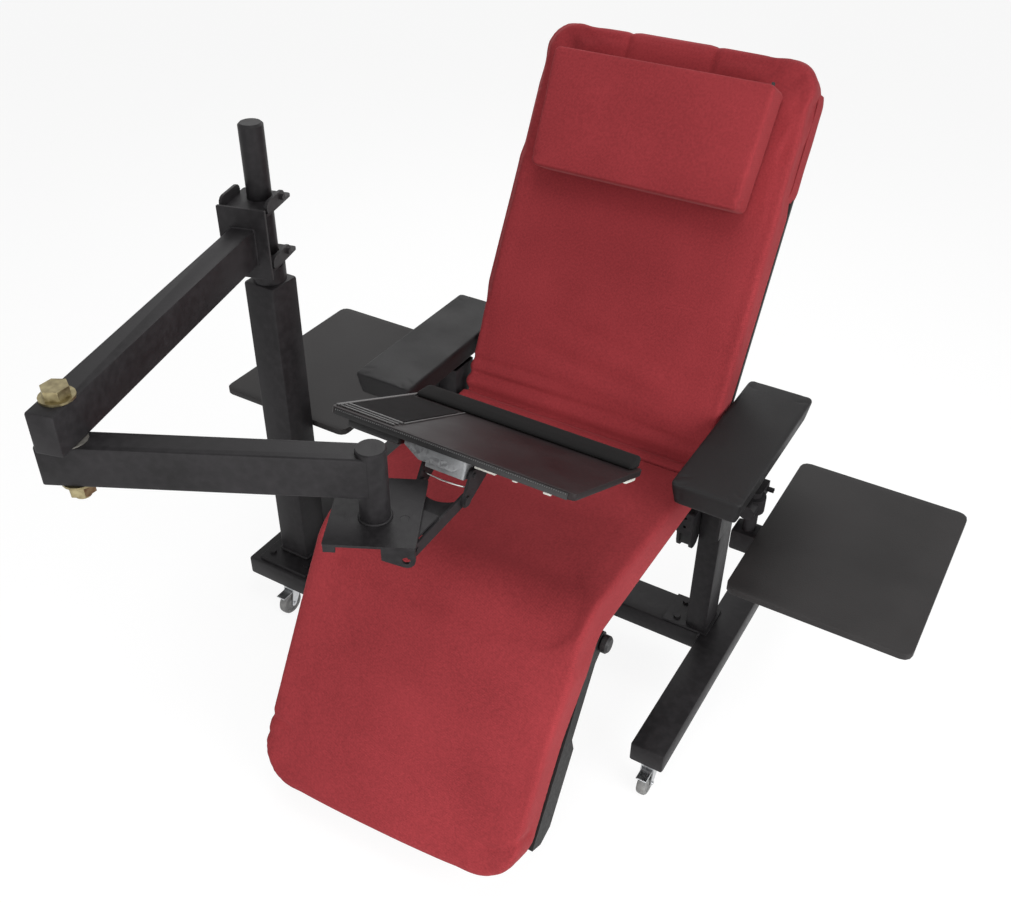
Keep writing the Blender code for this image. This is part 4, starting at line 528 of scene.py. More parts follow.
# Side trays: laminated boards with a dark grey leather grained face and a black edge, each on a painted arm
# that turns in the clamp of its upright.
laminate = material("dark_laminate")
hide = laminate.cells(330.0, "SMOOTH_F1")
worn = laminate.patches(6.0, 5.0, 0.35)
dark_laminate = laminate.shell(
    Base_Color=laminate.blend(worn, (0.022, 0.0205, 0.0205), (0.035, 0.033, 0.033)),
    Roughness=0.5 + worn * 0.14,
    Normal=laminate.bump(hide + laminate.noise(900.0, 1.0) * 0.4, 0.0004, 0.4),
    Specular_IOR_Level=0.18,
)
dress(dark_laminate, "left_side_tray", "right_side_tray")
dress(black_paint, "left_tray_arm", "right_tray_arm")

# Keyboard arm: two painted box tubes that turn about the mast rod and about a large yellow zinc bolt at the
# elbow, on a smoked nylon washer, out to a sleeve and a shelf plate. The arm, sleeve and mast are welded on.
yellow_zinc = coat(
    "yellow_zinc", (90.0, 4.0), (0.19, 0.155, 0.085), (0.32, 0.277, 0.16), rough=(0.34, 0.16),
    relief=(0.0002, 0.25, "noise", 300.0, 2.0), Metallic=1.0,
)
smoked_nylon = coat(
    "smoked_nylon", (40.0, 3.0), (0.10, 0.095, 0.085), (0.17, 0.16, 0.145), rough=(0.42, 0.12),
    relief=(0.0002, 0.2, "noise", 500.0, 2.0),
)
dress(black_paint, "carriage_plate", "lower_rod_bracket", "upper_rod_bracket", "swing_arm", "fore_arm")
dress(black_paint, "keyboard_sleeve", "keyboard_plate")
dress(yellow_zinc, "elbow_bolt", "elbow_nut")
dress(smoked_nylon, "elbow_washer")

BEAD = 0.0032
BEAD_NARROW = 0.78
BEAD_OFF = BEAD * 0.3
BEAD_UP = BEAD * 0.4
RIPPLE = 0.0022
SOFT_ANGLE = 60.0


def bead(form, points, radius=BEAD):
    """Add a weld bead along a line of points to a bmesh: a thin tube that swells at every ripple."""
    corners = [Vector(p) for p in points]
    stations = []
    for a, b in zip(corners, corners[1:]):
        count = max(2, int((b - a).length / RIPPLE))
        stations += [(a.lerp(b, k / count), (b - a).normalized()) for k in range(count)]
    stations.append((corners[-1], stations[-1][1]))
    turn = stations[0][1].to_track_quat("Z", "Y").to_matrix().to_4x4()
    ring = bmesh.ops.create_circle(
        form, cap_ends=True, segments=6, radius=radius * 0.7,
        matrix=Matrix.Translation(stations[0][0]) @ turn,
    )["verts"]
    cap = [f for f in form.faces if all(v in ring for v in f.verts)]
    for k, (place, heading) in enumerate(stations[1:], 1):
        grown = bmesh.ops.extrude_face_region(form, geom=cap)["geom"]
        if k > 1:
            bmesh.ops.delete(form, geom=cap, context="FACES_ONLY")
        cap = [g for g in grown if isinstance(g, bmesh.types.BMFace)]
        verts = [g for g in grown if isinstance(g, bmesh.types.BMVert)]
        centre = sum((v.co for v in verts), Vector()) / len(verts)
        spin = stations[k - 1][1].rotation_difference(heading).to_matrix()
        size = radius * (1.0 if k % 2 else BEAD_NARROW)
        for v in verts:
            v.co = place + (spin @ (v.co - centre)).normalized() * size


joints = {row["name"]: row for row in frame["joints"]}
rod_axis = Vector(joints["arm_swing"]["pos_m"])
elbow = Vector(joints["elbow_swing"]["pos_m"])
reach = Vector((elbow.x - rod_axis.x, elbow.y - rod_axis.y, 0.0)).normalized()
beside = Vector((-reach.y, reach.x, 0.0))
arm_points = [v.co for v in frame["nodes"]["swing_arm"].data.vertices]
plate_points = [v.co for v in frame["nodes"]["carriage_plate"].data.vertices]
root = max((p - rod_axis).dot(reach) for p in plate_points)
arm_low = min(p.z for p in arm_points)
arm_high = max(p.z for p in arm_points)
arm_half = max((p - rod_axis).dot(beside) for p in arm_points)
arm_root = Vector((rod_axis.x, rod_axis.y, 0.0)) + reach * (root + BEAD_OFF)
around = ((1, arm_low), (1, arm_high), (-1, arm_high), (-1, arm_low), (1, arm_low))
work = bmesh.new()
bead(work, [arm_root + beside * (way * arm_half) + Vector((0, 0, z)) for way, z in around])
piece("arm_weld", work, black_paint, "swing_arm", SOFT_ANGLE)

SLEEVE_STEPS = 24
low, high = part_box("keyboard_sleeve")
sleeve = (low + high) / 2
bead_radius = (high.x - low.x) / 2 + BEAD_OFF
bead_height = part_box("keyboard_plate")[1].z + BEAD_UP
turns = [math.tau * k / SLEEVE_STEPS for k in range(SLEEVE_STEPS + 1)]
work = bmesh.new()
bead(work, [
    (sleeve.x + bead_radius * math.cos(turn), sleeve.y + bead_radius * math.sin(turn), bead_height)
    for turn in turns
])
piece("sleeve_weld", work, black_paint, "fore_arm", SOFT_ANGLE)

low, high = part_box("mast_tube")
foot_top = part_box("mast_foot_plate")[1].z
square = [(low.x, low.y), (high.x, low.y), (high.x, high.y), (low.x, high.y), (low.x, low.y)]
work = bmesh.new()
bead(work, [(x, y, foot_top + BEAD_UP) for x, y in square], BEAD * 1.3)
low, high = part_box("cross_beam")
for at in (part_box("left_rail")[0].x - BEAD_OFF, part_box("right_rail")[1].x + BEAD_OFF):
    rim = [(at, low.y, low.z), (at, low.y, high.z), (at, high.y, high.z), (at, high.y, low.z)]
    bead(work, rim, BEAD * 1.2)
piece("base_welds", work, black_paint, "base", SOFT_ANGLE)

# Keyboard mechanism under the board: painted steel bracket, lift arm and head, a cast mount, and two bent
# spring wires.
casting = material("grey_casting")
sandy = casting.patches(260.0, 3.0)
flow = casting.patches(24.0, 4.0)
grey_casting = casting.shell(
    Base_Color=casting.blend(flow, (0.16, 0.165, 0.17), (0.27, 0.275, 0.28)),
    Roughness=0.46 + sandy * 0.2,
    Metallic=0.8,
    Normal=casting.bump(sandy, 0.0004, 0.35),
)
spring_steel = coat(
    "spring_steel", (30.0, 3.0, 0.3, 0.7, (1.0, 1.0, 14.0)), (0.55, 0.55, 0.54), (0.72, 0.72, 0.71),
    rough=(0.25, 0.15), relief=(0.0001, 0.2), Metallic=1.0,
)
dress(black_paint, "swivel_bracket", "lift_arm", "tilt_head")
dress(spring_steel, "head_spring")
dress(grey_casting, "tray_mount")

# Keyboard board: a thin dark board with a fine leather grain and a studded black edging whose studs are
# painted lighter grey as highlight for glints along the edge, a mouse pad in a raised grey rim, and below it
# a galvanised bracket, a cable channel, pale clips and a pale foot.
board_face = coat(
    "board_face", (8.0, 5.0, 0.35), (0.008, 0.005, 0.0055), (0.015, 0.010, 0.0105), rough=(0.42, 0.14),
    relief=(0.0004, 0.4, "cells", 420.0, "SMOOTH_F1"), Specular_IOR_Level=0.2,
)
black_plastic = coat(
    "black_plastic", (420.0, 2.0, 0.35, 0.65), (0.007, 0.0065, 0.007), (0.014, 0.0135, 0.014),
    rough=(0.4, 0.14), relief=(0.0002, 0.3), Specular_IOR_Level=0.35,
)
# Grey plastic of the mouse pad's rim, also laid on the edging's studs as painted highlight.
rim_and_highlight_plastic = coat(
    "rim_and_highlight_plastic", (150.0, 3.0), (0.075, 0.073, 0.073), (0.11, 0.107, 0.107), rough=(0.4, 0.15),
    relief=(0.0002, 0.3),
)
mouse_mat = coat(
    "mouse_mat", (14.0, 4.0, 0.35), (0.0065, 0.006, 0.0062), (0.0105, 0.01, 0.0102), rough=(0.8, 0.12),
    relief=(0.0003, 0.5, "cells", 800.0), Specular_IOR_Level=0.12,
)
pale_nylon = coat(
    "pale_nylon", (40.0, 3.0), (0.58, 0.57, 0.52), (0.70, 0.69, 0.65), rough=(0.42, 0.12),
    relief=(0.0002, 0.2, "noise", 500.0, 2.0),
)
dress(board_face, "keyboard_tray")
dress(mouse_mat, "mouse_pad")
BOARD = Vector((0.0, 0.90704, -0.42104))
BOARD_UP = Vector((0.0, 0.42104, 0.90704))
BOARD_EDGE = Vector((0.0706, -0.30685, 0.91988))
BOARD_HALF = 0.244
BOARD_DEPTH = 0.308
BOARD_THICKNESS = 0.012
EDGING_HALF = BOARD_HALF - 0.012
EDGING_OUT = -0.0022
STUD = 0.0011
STUD_PITCH = 0.0042
STUD_HALF = BOARD_HALF - 0.014
STUD_HEIGHT = -0.0035


def on_board(side, ahead, height):
    """A point of the board: across from its middle, from its far edge to the sitter, above its face."""
    return BOARD_EDGE + Vector((side, 0, 0)) + BOARD * ahead + BOARD_UP * height


def board_piece(name, finish, slot, *bars):
    """Bars with rounded edges, each given by its limits across, along and above the board and its edge."""
    form = bmesh.new()
    for *spans, edge in bars:
        made = bmesh.ops.create_cube(form, size=1.0)["verts"]
        for v in made:
            v.co = Vector([s[0] if c < 0 else s[1] for s, c in zip(spans, v.co)])
        grown = rounded(form, list({e for v in made for e in v.link_edges}), edge)
        for v in {v for v in list(grown) + [v for v in made if v.is_valid]}:
            v.co = on_board(*v.co)
    return piece(name, form, finish, "keyboard")


def hung(drop):
    """Limits in height of a bar that hangs below the board."""
    return -BOARD_THICKNESS - drop, -BOARD_THICKNESS - 0.0003


board_piece(
    "board_edging", black_plastic, "black_plastic",
    ((-EDGING_HALF, EDGING_HALF), (EDGING_OUT, -0.0003), (-BOARD_THICKNESS - 0.001, -0.0015), 0.0005),
)
# The studs take the lighter grey plastic as painted highlight: their light dots stand in for glints along the
# black edge.
work = bmesh.new()
for k in range(int(2 * STUD_HALF / STUD_PITCH) + 1):
    place = Matrix.Translation(on_board(-STUD_HALF + k * STUD_PITCH, EDGING_OUT, STUD_HEIGHT))
    bmesh.ops.create_uvsphere(work, u_segments=8, v_segments=5, radius=STUD, matrix=place)
piece("board_studs", work, rim_and_highlight_plastic, "keyboard")
board_piece(
    "mouse_pad_rim", rim_and_highlight_plastic, "black_plastic",
    ((-0.2415, -0.2345), (0.012, 0.286), (0.0001, 0.0034), 0.0012),
    ((-0.2345, -0.117), (0.0395, 0.0455), (0.0001, 0.0034), 0.0012),
    ((-0.2335, -0.117), (0.0265, 0.0312), (0.0001, 0.003), 0.0012),
    ((-0.2335, -0.117), (0.0135, 0.0182), (0.0001, 0.003), 0.0012),
    ((-0.1178, -0.1148), (0.0455, 0.262), (0.0001, 0.0022), 0.0008),
)
board_piece(
    "cable_channel", black_plastic, "black_plastic", ((-0.205, -0.095), (0.004, 0.034), hung(0.016), 0.004),
)
board_piece(
    "board_clips", pale_nylon, "pale_nylon",
    ((0.058, 0.098), (0.0015, 0.0085), hung(0.0055), 0.0012),
    ((0.188, 0.202), (0.0015, 0.0085), hung(0.0055), 0.0012),
    ((0.130, 0.139), (0.0015, 0.0085), hung(0.0045), 0.0012),
)
board_piece("board_foot", pale_nylon, "pale_nylon", ((0.218, 0.241), (0.243, 0.288), hung(0.009), 0.0035))

galvanised = material("galvanised_sheet")
flakes = galvanised.cells(190.0, out=1)
flake = galvanised.node("ShaderNodeSeparateColor", {}, {"Color": flakes})
galvanised_sheet = galvanised.shell(
    Base_Color=galvanised.blend(flake, (0.14, 0.143, 0.147), (0.27, 0.274, 0.28)),
    Roughness=0.42 + flake * 0.22,
    Metallic=0.85,
    Normal=galvanised.bump(flake, 0.0001, 0.2),
)
BRACKET_TOP = (-0.089, 0.040)
BRACKET_FOOT = (-0.049, 0.021)
BRACKET_SLOPE = 0.004
BRACKET_SHOULDER = 0.010
BRACKET_DROP = 0.026
BRACKET_AHEAD = (0.012, 0.009, 0.0042)
BRACKET_FLANGE = 0.03
BRACKET_SHEET = 0.002
brow = -BOARD_THICKNESS - 0.0004
ahead, shoulder_ahead, foot_ahead = BRACKET_AHEAD
corners = [
    (BRACKET_TOP[0], ahead, brow),
    (BRACKET_TOP[1], ahead, brow),
    (BRACKET_TOP[1] - BRACKET_SLOPE, shoulder_ahead, brow - BRACKET_SHOULDER),
    (BRACKET_FOOT[1], foot_ahead, brow - BRACKET_DROP),
    (BRACKET_FOOT[0], foot_ahead, brow - BRACKET_DROP),
    (BRACKET_TOP[0] + BRACKET_SLOPE, shoulder_ahead, brow - BRACKET_SHOULDER),
]
work = bmesh.new()
face = work.faces.new([work.verts.new(on_board(*c)) for c in corners])
brow_edge = [e for e in face.edges if all(v in face.verts[:2] for v in e.verts)]
flange = bmesh.ops.extrude_edge_only(work, edges=brow_edge)["geom"]
flange_points = [g for g in flange if isinstance(g, bmesh.types.BMVert)]
bmesh.ops.translate(work, vec=BOARD * BRACKET_FLANGE, verts=flange_points)
bmesh.ops.solidify(work, geom=work.faces[:], thickness=BRACKET_SHEET)
rounded(work, work.edges[:], 0.0006)
piece("board_bracket", work, galvanised_sheet, "keyboard")

# Palm rest: a wedge of closed cell black foam glued along the sitter's edge of the board, high at the edge
# and falling away towards the keys.
black_foam = coat(
    "black_foam", (25.0, 4.0, 0.35), (0.0055, 0.005, 0.005), (0.011, 0.0105, 0.0105), rough=(0.85, 0.1),
    relief=(0.0005, 0.6, "cells", 900.0), Specular_IOR_Level=0.2,
)
PALM_WIDTH = 0.47
PALM_DEPTH = 0.046
PALM_HEIGHT = 0.0235
PALM_OUT = 0.004
PALM_FLAT = 0.25
PALM_THIN = 0.16
PALM_VOXEL = 0.0035
blank = slab(PALM_WIDTH, PALM_DEPTH, PALM_HEIGHT, 0.006, 0.005, 0.002)
for v in blank.verts:
    x, l, z = v.co
    share = l / PALM_DEPTH
    lean = PALM_THIN + (1.0 - PALM_THIN) * min(1.0, 1.0 + PALM_FLAT - share) if share > PALM_FLAT else 1.0
    end = 1.0 - 0.10 * max(0.0, abs(x) / (PALM_WIDTH / 2) - 0.9) / 0.1
    v.co = on_board(x, BOARD_DEPTH + PALM_OUT - l, 0.0004 + (PALM_HEIGHT + z) * lean * end)


def palm_held(p):
    return (p - BOARD_EDGE).dot(BOARD_UP) < 0.004


palm = stuffed("foam_palm_rest", blank, PALM_VOXEL, 0.002, palm_held, stiff=20.0, evened=1)
upholstered(palm, black_foam, ["palm_rest"], "keyboard")

# Frames of the seat and the leg rest: boards, rails and bars of wood painted black, with plastic knobs at
# the knee.
timber = material("black_wood")
ringed = timber.patches(18.0, 5.0, stretch=(1.0, 9.0, 9.0))
brushed = timber.patches(120.0, 3.0, 0.35, 0.65)
black_wood = timber.shell(
    Base_Color=timber.blend(ringed, (0.006, 0.006, 0.006), (0.012, 0.0115, 0.0115)),
    Roughness=0.5 + ringed * 0.12 + brushed * 0.1,
    Normal=timber.bump(ringed * 0.7 + brushed * 0.3, 0.0004, 0.3),
    Specular_IOR_Level=0.3,
)
dress(black_wood, "seat_frame", "leg_frame")
dress(black_plastic, "left_knee_knob", "right_knee_knob")

# Seat and leg cover: foam under one piece of red woven cloth that runs from the hip over the seat and the
# knee and down the leg rest, pulled round the edges and stapled below.
MIDDLE = 0.02625
HALF_WIDTH = 0.305
CUSHION = 0.075
SEAT_TOP = 0.59488
SEAM_Y = 0.247
KNEE_Y = -0.17981
KNEE_RADIUS = 0.112
KNEE_TURN = math.radians(60.0)
LEG_LENGTH = 0.500
LEG_CORNER = 0.088
LEG_BOW = 0.012
LEG_SKEW = 0.018
SWELL = 0.003
SEWN = 0.012
TACKED = 0.016
BEND_ROOM = 0.03
BEND_CUTS = 10
COVER_VOXEL = 0.007
COVER_EDGE = 0.018
DRAWN_IN = 0.003


class Run:
    """A cover's path seen from the side: straight, round a bend and straight again. bend is 1 over a convex
    edge and -1 into a concave one."""

    def __init__(self, start, heading, first, radius, turn, bend):
        self.start = Vector(start)
        self.heading = Vector(heading)
        self.normal = Vector((0.0, 1.0))
        self.first = first
        self.radius = radius
        self.turn = turn
        self.bend = bend
        self.bent = first + radius * turn
        self.centre = self.start + self.heading * first - self.normal * (bend * radius)
        self.last_heading = self.heading * math.cos(turn) - self.normal * (bend * math.sin(turn))
        self.last_normal = self.normal * math.cos(turn) + self.heading * (bend * math.sin(turn))
        self.last = self.centre + self.last_normal * (bend * radius)

    def point(self, along, deep):
        """Where a point of the cover is, in (y, z), at a distance along its top and a depth below it."""
        if along <= self.first:
            return self.start + self.heading * along - self.normal * deep
        angle = (along - self.first) / self.radius
        if angle < self.turn:
            normal = self.normal * math.cos(angle) + self.heading * (self.bend * math.sin(angle))
            return self.centre + normal * (self.bend * self.radius - deep)
        return self.last + self.last_heading * (along - self.bent) - self.last_normal * deep

    def lay(self, p):
        """Where a point in space lies: across the cover, along its top and below its top."""
        here = Vector((p.y, p.z))
        ahead = (here - self.start).dot(self.heading)
        across = p.x - MIDDLE
        if ahead <= self.first:
            return across, ahead, -(here - self.start).dot(self.normal)
        spoke = here - self.centre
        angle = math.atan2(spoke.dot(self.heading), self.bend * spoke.dot(self.normal))
        if 0.0 <= angle < self.turn:
            return across, self.first + self.radius * angle, self.bend * (self.radius - spoke.length)
        rest = here - self.last
        return across, self.bent + rest.dot(self.last_heading), -rest.dot(self.last_normal)


def bent_blank(run, length, corner, thin):
    """A cover's blank on its path, with cuts round the bend. thin(along) narrows its thickness."""
    blank = slab(2 * HALF_WIDTH, length, CUSHION - SWELL, corner, COVER_EDGE, 0.006, sewn=True)
    for step in range(BEND_CUTS + 1):
        cut = run.first - BEND_ROOM + (run.bent - run.first + 2 * BEND_ROOM) * step / BEND_CUTS
        bmesh.ops.bisect_plane(
            blank, geom=blank.verts[:] + blank.edges[:] + blank.faces[:], dist=1e-7,
            plane_co=(0, cut, 0), plane_no=(0, 1, 0),
        )
    for v in blank.verts:
        x, l, z = v.co
        y, z = run.point(l, -z * thin(l))
        v.co = Vector((MIDDLE + x, y, z))
    return blank


def tacked(run, p):
    """True where a cover is sewn to the next one or tacked below."""
    _, along, deep = run.lay(p)
    return along < SEWN or deep > CUSHION - SWELL - TACKED


def between(row, place):
    """A value between the two entries of a row next to a place in it."""
    place = within(place, 0.0, len(row) - 1.0)
    k = min(int(place), len(row) - 2)
    return row[k] + (row[k + 1] - row[k]) * (place - k)


def edge_fall(distance):
    """How far the round of a cover's edge has fallen at a distance from it."""
    return COVER_EDGE * (1.0 - math.sqrt(1.0 - within(1.0 - distance / COVER_EDGE) ** 2))


LAYERS = 10
SLICES = 14
END_ROOM = 0.09
TOP_LAYER = 0.95
NEXT_LAYER = 0.97


def drawn_out(soft, run, half_width, full_length):
    """Bring a stuffed cover back to its cut size, which its filling has drawn in unevenly.
    half_width(side, along) and full_length(across) give that size, and the sides keep a slight draw between
    their corners. A layer with too few points takes its neighbour's size."""
    length = full_length(0.0)
    laid = [run.lay(v.co) for v in soft.data.vertices]
    layer = (CUSHION - 2 * SWELL) / LAYERS
    near = run.bent + BEND_ROOM
    pitch = (length - END_ROOM - near) / SLICES
    wide = {side: [[0.0] * (LAYERS + 1) for _ in range(SLICES + 1)] for side in (-1, 1)}
    far = [0.0] * (LAYERS + 1)
    for u, l, deep in laid:
        k = within(round(deep / layer), 0, LAYERS)
        row = wide[1 if u > 0 else -1][within(round((l - near) / pitch), 0, SLICES)]
        row[k] = max(row[k], abs(u))
        far[k] = max(far[k], l)
    for row in wide[-1] + wide[1] + [far]:
        row[0] = max(row[0], TOP_LAYER * row[1])
        for k in range(LAYERS):
            row[k + 1] = max(row[k + 1], NEXT_LAYER * row[k])
    for vertex, (u, l, deep) in zip(soft.data.vertices, laid):
        side = 1 if u > 0 else -1
        half = between([between(row, deep / layer) for row in wide[side]], (l - near) / pitch)
        end = between(far, deep / layer)
        inset = edge_fall(deep)
        draw = DRAWN_IN * math.sin(math.pi * within((l - near) / (length - near)))
        pull = (full_length(u) - inset - end) * max(0.0, l - run.bent) / (end - run.bent)
        vertex.co.x = MIDDLE + u * (half_width(side, l) - inset - draw) / half
        vertex.co.y += run.last_heading.x * pull
        vertex.co.z += run.last_heading.y * pull


FACE_DEEP = 0.045
FACE_TILT = 0.3
FACE_BLEND = 0.4
SIDE_DEEP = 0.06
FLAT_FROM = 0.10
LEVEL_STEP = 0.006


def levelled(soft, run, full_length, corner, ripple):
    """Give a stuffed cover the flat face and tight edge of upholstery. Its roll towards the edges comes out,
    and of its ripples a share is kept."""
    laid = [run.lay(v.co) for v in soft.data.vertices]
    count = int(HALF_WIDTH / LEVEL_STEP)
    level = [0.0] * (count + 1)
    hits = [0] * (count + 1)
    faces = []
    for vertex, (u, l, deep) in zip(soft.data.vertices, laid):
        beside = HALF_WIDTH - abs(u)
        before = full_length(u) - l
        edge = min(beside, before)
        if beside < corner and before < corner:
            edge = corner - math.hypot(corner - beside, corner - before)
        out = run.point(l, 0.0) - run.point(l, 0.01)
        facing = (vertex.normal.y * out.x + vertex.normal.z * out.y) / out.length
        faces.append((max(edge, 0.0), facing))
        if deep < FACE_DEEP and facing > FACE_TILT:
            k = within(round(edge / LEVEL_STEP), 0, count)
            level[k] += deep
            hits[k] += 1
    level = [total / max(hit, 1) for total, hit in zip(level, hits)]
    for k in range(count - 1, -1, -1):
        if hits[k] == 0:
            level[k] = level[k + 1]
    flat_from = round(FLAT_FROM / LEVEL_STEP)
    start = sum(level[flat_from - 2:flat_from + 3]) / 5
    rise = sum(level[-10:]) / 10 - start
    for k in range(flat_from, count + 1):
        level[k] = start + rise * math.sin(math.pi / 2 * (k - flat_from) / (count - flat_from))
    for vertex, (u, l, deep), (edge, facing) in zip(soft.data.vertices, laid, faces):
        was = between(level, edge / LEVEL_STEP)
        wanted = between(level, max(edge / LEVEL_STEP, flat_from)) + edge_fall(edge)
        below = within((deep - was) / (SIDE_DEEP - was))
        on_face = within((facing - FACE_TILT) / FACE_BLEND) * (1.0 - below)
        new = deep + (1.0 - below) * (wanted - was) - on_face * (1.0 - ripple) * (deep - was)
        move = run.point(l, new) - run.point(l, deep)
        vertex.co.y += move.x
        vertex.co.z += move.y
    soft.data.update()


def woven(soft, lay):
    """Note on each point where it lies on the flat cloth, so that the weave follows the cover."""
    flat = soft.data.attributes.new("cloth", "FLOAT_VECTOR", "POINT")
    for note, vertex in zip(flat.data, soft.data.vertices):
        u, l, deep = lay(vertex.co)
        edge = within((abs(u) - 0.75 * HALF_WIDTH) / (0.25 * HALF_WIDTH))
        note.vector = (u + math.copysign(edge * deep, u), l, deep)


def hinged(soft, run, after):
    """Bake a cover's place into its mesh. Where its bend starts and ends is found but not used."""
    start = run.point(run.first - BEND_ROOM, 0.0)
    end = run.point(run.bent + after, 0.0)
    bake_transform(soft)


THREAD = 0.0019
cloth = material("red_fabric")
flat = cloth.node("ShaderNodeAttribute", {"attribute_name": "cloth"}, out=1)
spread = {"Vector": flat, "Scale": math.pi / THREAD}
lines = cloth.node("ShaderNodeVectorMath", {"operation": "SCALE"}, spread)
warp, weft = (
    cloth.node("ShaderNodeSeparateXYZ", {}, {"Vector": lines}, out=axis).math("SINE") for axis in (0, 1)
)
weave = warp * weft * 0.5 + 0.5
shade = cloth.patches(5.0, 4.0)
fuzz = cloth.ramp(cloth.node("ShaderNodeTexNoise", {}, {"Vector": flat, "Scale": 210.0, "Detail": 4.0}))
thread = weave * 0.35 + fuzz * 0.35 + shade * 0.3
red_fabric = cloth.shell(
    Base_Color=cloth.blend(thread, (0.185, 0.0195, 0.0235), (0.40, 0.049, 0.057)),
    Roughness=0.82 + fuzz * 0.12,
    Normal=cloth.bump(weave * 0.7 + fuzz * 0.6, 0.0006, 0.5),
    Sheen_Weight=0.12,
    Sheen_Roughness=0.4,
    Sheen_Tint=(1.0, 0.45, 0.45, 1.0),
    Specular_IOR_Level=0.15,
)

leg_run = Run(
    (SEAM_Y, SEAT_TOP - SWELL), (-1.0, 0.0), SEAM_Y - KNEE_Y, KNEE_RADIUS - SWELL, KNEE_TURN, 1,
)
leg_end = leg_run.bent + LEG_LENGTH
leg_cover = stuffed(
    "seat_and_leg_cover", bent_blank(leg_run, leg_end, LEG_CORNER, lambda l: 1.0), COVER_VOXEL, 0.009,
    lambda p: tacked(leg_run, p), stiff=40.0, evened=3,
)


def leg_full(u):
    """Length of the leg cover, whose end bows and sits a little skew."""
    return leg_end + LEG_BOW * (1.0 - (u / HALF_WIDTH) ** 2) - LEG_SKEW * u / HALF_WIDTH


def leg_half(side, l):
    """Half width of the seat and leg cover: a little wider on the mast side, narrower down the other."""
    down = within((l - leg_run.bent - 0.05) / 0.15)
    return HALF_WIDTH + (0.001 - 0.006 * down if side > 0 else 0.005)


drawn_out(leg_cover, leg_run, leg_half, leg_full)
levelled(leg_cover, leg_run, leg_full, LEG_CORNER, 0.3)
folded(leg_cover, leg_run.lay, [
    ((-0.31, leg_end - 0.115), (-0.235, leg_end - 0.105), 0.006, -0.005),
    ((-0.31, leg_end - 0.075), (-0.285, leg_end - 0.065), 0.006, -0.004),
    ((0.31, leg_end - 0.135), (0.27, leg_end - 0.085), 0.006, -0.005),
    ((0.27, leg_end - 0.085), (0.215, leg_end - 0.075), 0.006, -0.004),
])
woven(leg_cover, leg_run.lay)
upholstered(leg_cover, red_fabric, ["seat_cushion", "knee_cushion", "leg_cushion"])
hinged(leg_cover, leg_run, BEND_ROOM)

# Back cover: the same cloth over foam, sewn to the seat in front of the hip fold, up the back and over its
# top. It bunches into soft folds above the hip, and the pillow's strap draws two tucks into its top.
BACK_TURN = math.radians(62.5)
BACK_LENGTH = 0.848
BACK_CORNER = 0.07
HIP_RADIUS = 0.022
HIP_THIN = 0.3
HIP_SPREAD = 0.05
CREASE_Y = 0.28759
BACK = Vector((0.0, math.cos(BACK_TURN), math.sin(BACK_TURN)))
BACK_OUT = Vector((0.0, -math.sin(BACK_TURN), math.cos(BACK_TURN)))
BACK_FOOT = Vector((MIDDLE, CREASE_Y, SEAT_TOP))
STRAP_FROM = -0.114
STRAP_TO = 0.072
tangent = HIP_RADIUS * math.tan(BACK_TURN / 2)
back_run = Run(
    (SEAM_Y, SEAT_TOP - SWELL), (1.0, 0.0), CREASE_Y - SEAM_Y - tangent + SWELL * math.tan(BACK_TURN / 2),
    HIP_RADIUS, BACK_TURN, -1,
)
back_end = back_run.bent + BACK_LENGTH - tangent
hip = back_run.first + 0.012


def hip_thin(l):
    """Thickness of the back cover, which is drawn thin at the hip."""
    return 1.0 - HIP_THIN * math.exp(-(((l - hip) / HIP_SPREAD) ** 2))


def back_held(p):
    return tacked(back_run, p) or abs(back_run.lay(p)[1] - hip) < TACKED


def back_full(u):
    return back_end


def back_half(side, l):
    """Half width of the back cover: narrow between the armrests, wider above them, drawn in at the head."""
    above = within((l - back_run.bent - 0.14) / 0.10)
    head = within((l - back_run.bent - 0.53) / 0.03)
    return HALF_WIDTH - 0.001 + above * (0.001 if side > 0 else 0.017) - head * 0.005


back_blank = bent_blank(back_run, back_end, BACK_CORNER, hip_thin)
back_cover = stuffed("back_cover", back_blank, COVER_VOXEL, 0.010, back_held, stiff=40.0, evened=3)
drawn_out(back_cover, back_run, back_half, back_full)
levelled(back_cover, back_run, back_full, BACK_CORNER, 0.5)
folded(back_cover, back_run.lay, [
    ((-0.32, hip), (0.32, hip), 0.007, -0.013),
    ((-0.31, hip + 0.022), (0.31, hip + 0.024), 0.010, 0.004),
    ((-0.32, hip + 0.042), (0.10, hip + 0.050), 0.005, -0.005),
    ((-0.31, hip + 0.056), (-0.02, hip + 0.062), 0.008, 0.003),
    ((-0.32, hip + 0.076), (-0.06, hip + 0.082), 0.005, -0.004),
    ((0.06, hip + 0.050), (0.31, hip + 0.040), 0.006, -0.003),
    ((-0.22, hip + 0.15), (0.18, hip + 0.11), 0.022, -0.006),
    ((-0.14, hip + 0.21), (0.24, hip + 0.17), 0.022, -0.005),
    ((-0.18, hip + 0.115), (0.26, hip + 0.075), 0.018, 0.004),
    ((STRAP_FROM - 0.004, back_end - 0.12), (STRAP_FROM - 0.004, back_end + 0.02), 0.006, -0.007),
    ((STRAP_TO + 0.004, back_end - 0.12), (STRAP_TO + 0.004, back_end + 0.02), 0.006, -0.006),
    ((-0.24, back_end - 0.055), (STRAP_FROM - 0.02, back_end - 0.045), 0.018, 0.004),
    ((STRAP_TO + 0.02, back_end - 0.045), (0.22, back_end - 0.055), 0.018, 0.004),
])
woven(back_cover, back_run.lay)
upholstered(back_cover, red_fabric, ["back_cushion"])
hinged(back_cover, back_run, 0.05)

# Back frame: two wooden rails with cross bars behind the cover. Their outer edges are rounded, and a hem of
# the cover is pulled round them below its top corners and tacked on.
RAIL_OUTER = 0.3001
RAIL_REAR = 0.1003
RAIL_ROUND = 0.016
RAIL_NEAR = 5e-4
RAIL_EDGE = 0.0008
frame_front = Vector((MIDDLE, 0.29019, 0.59988))


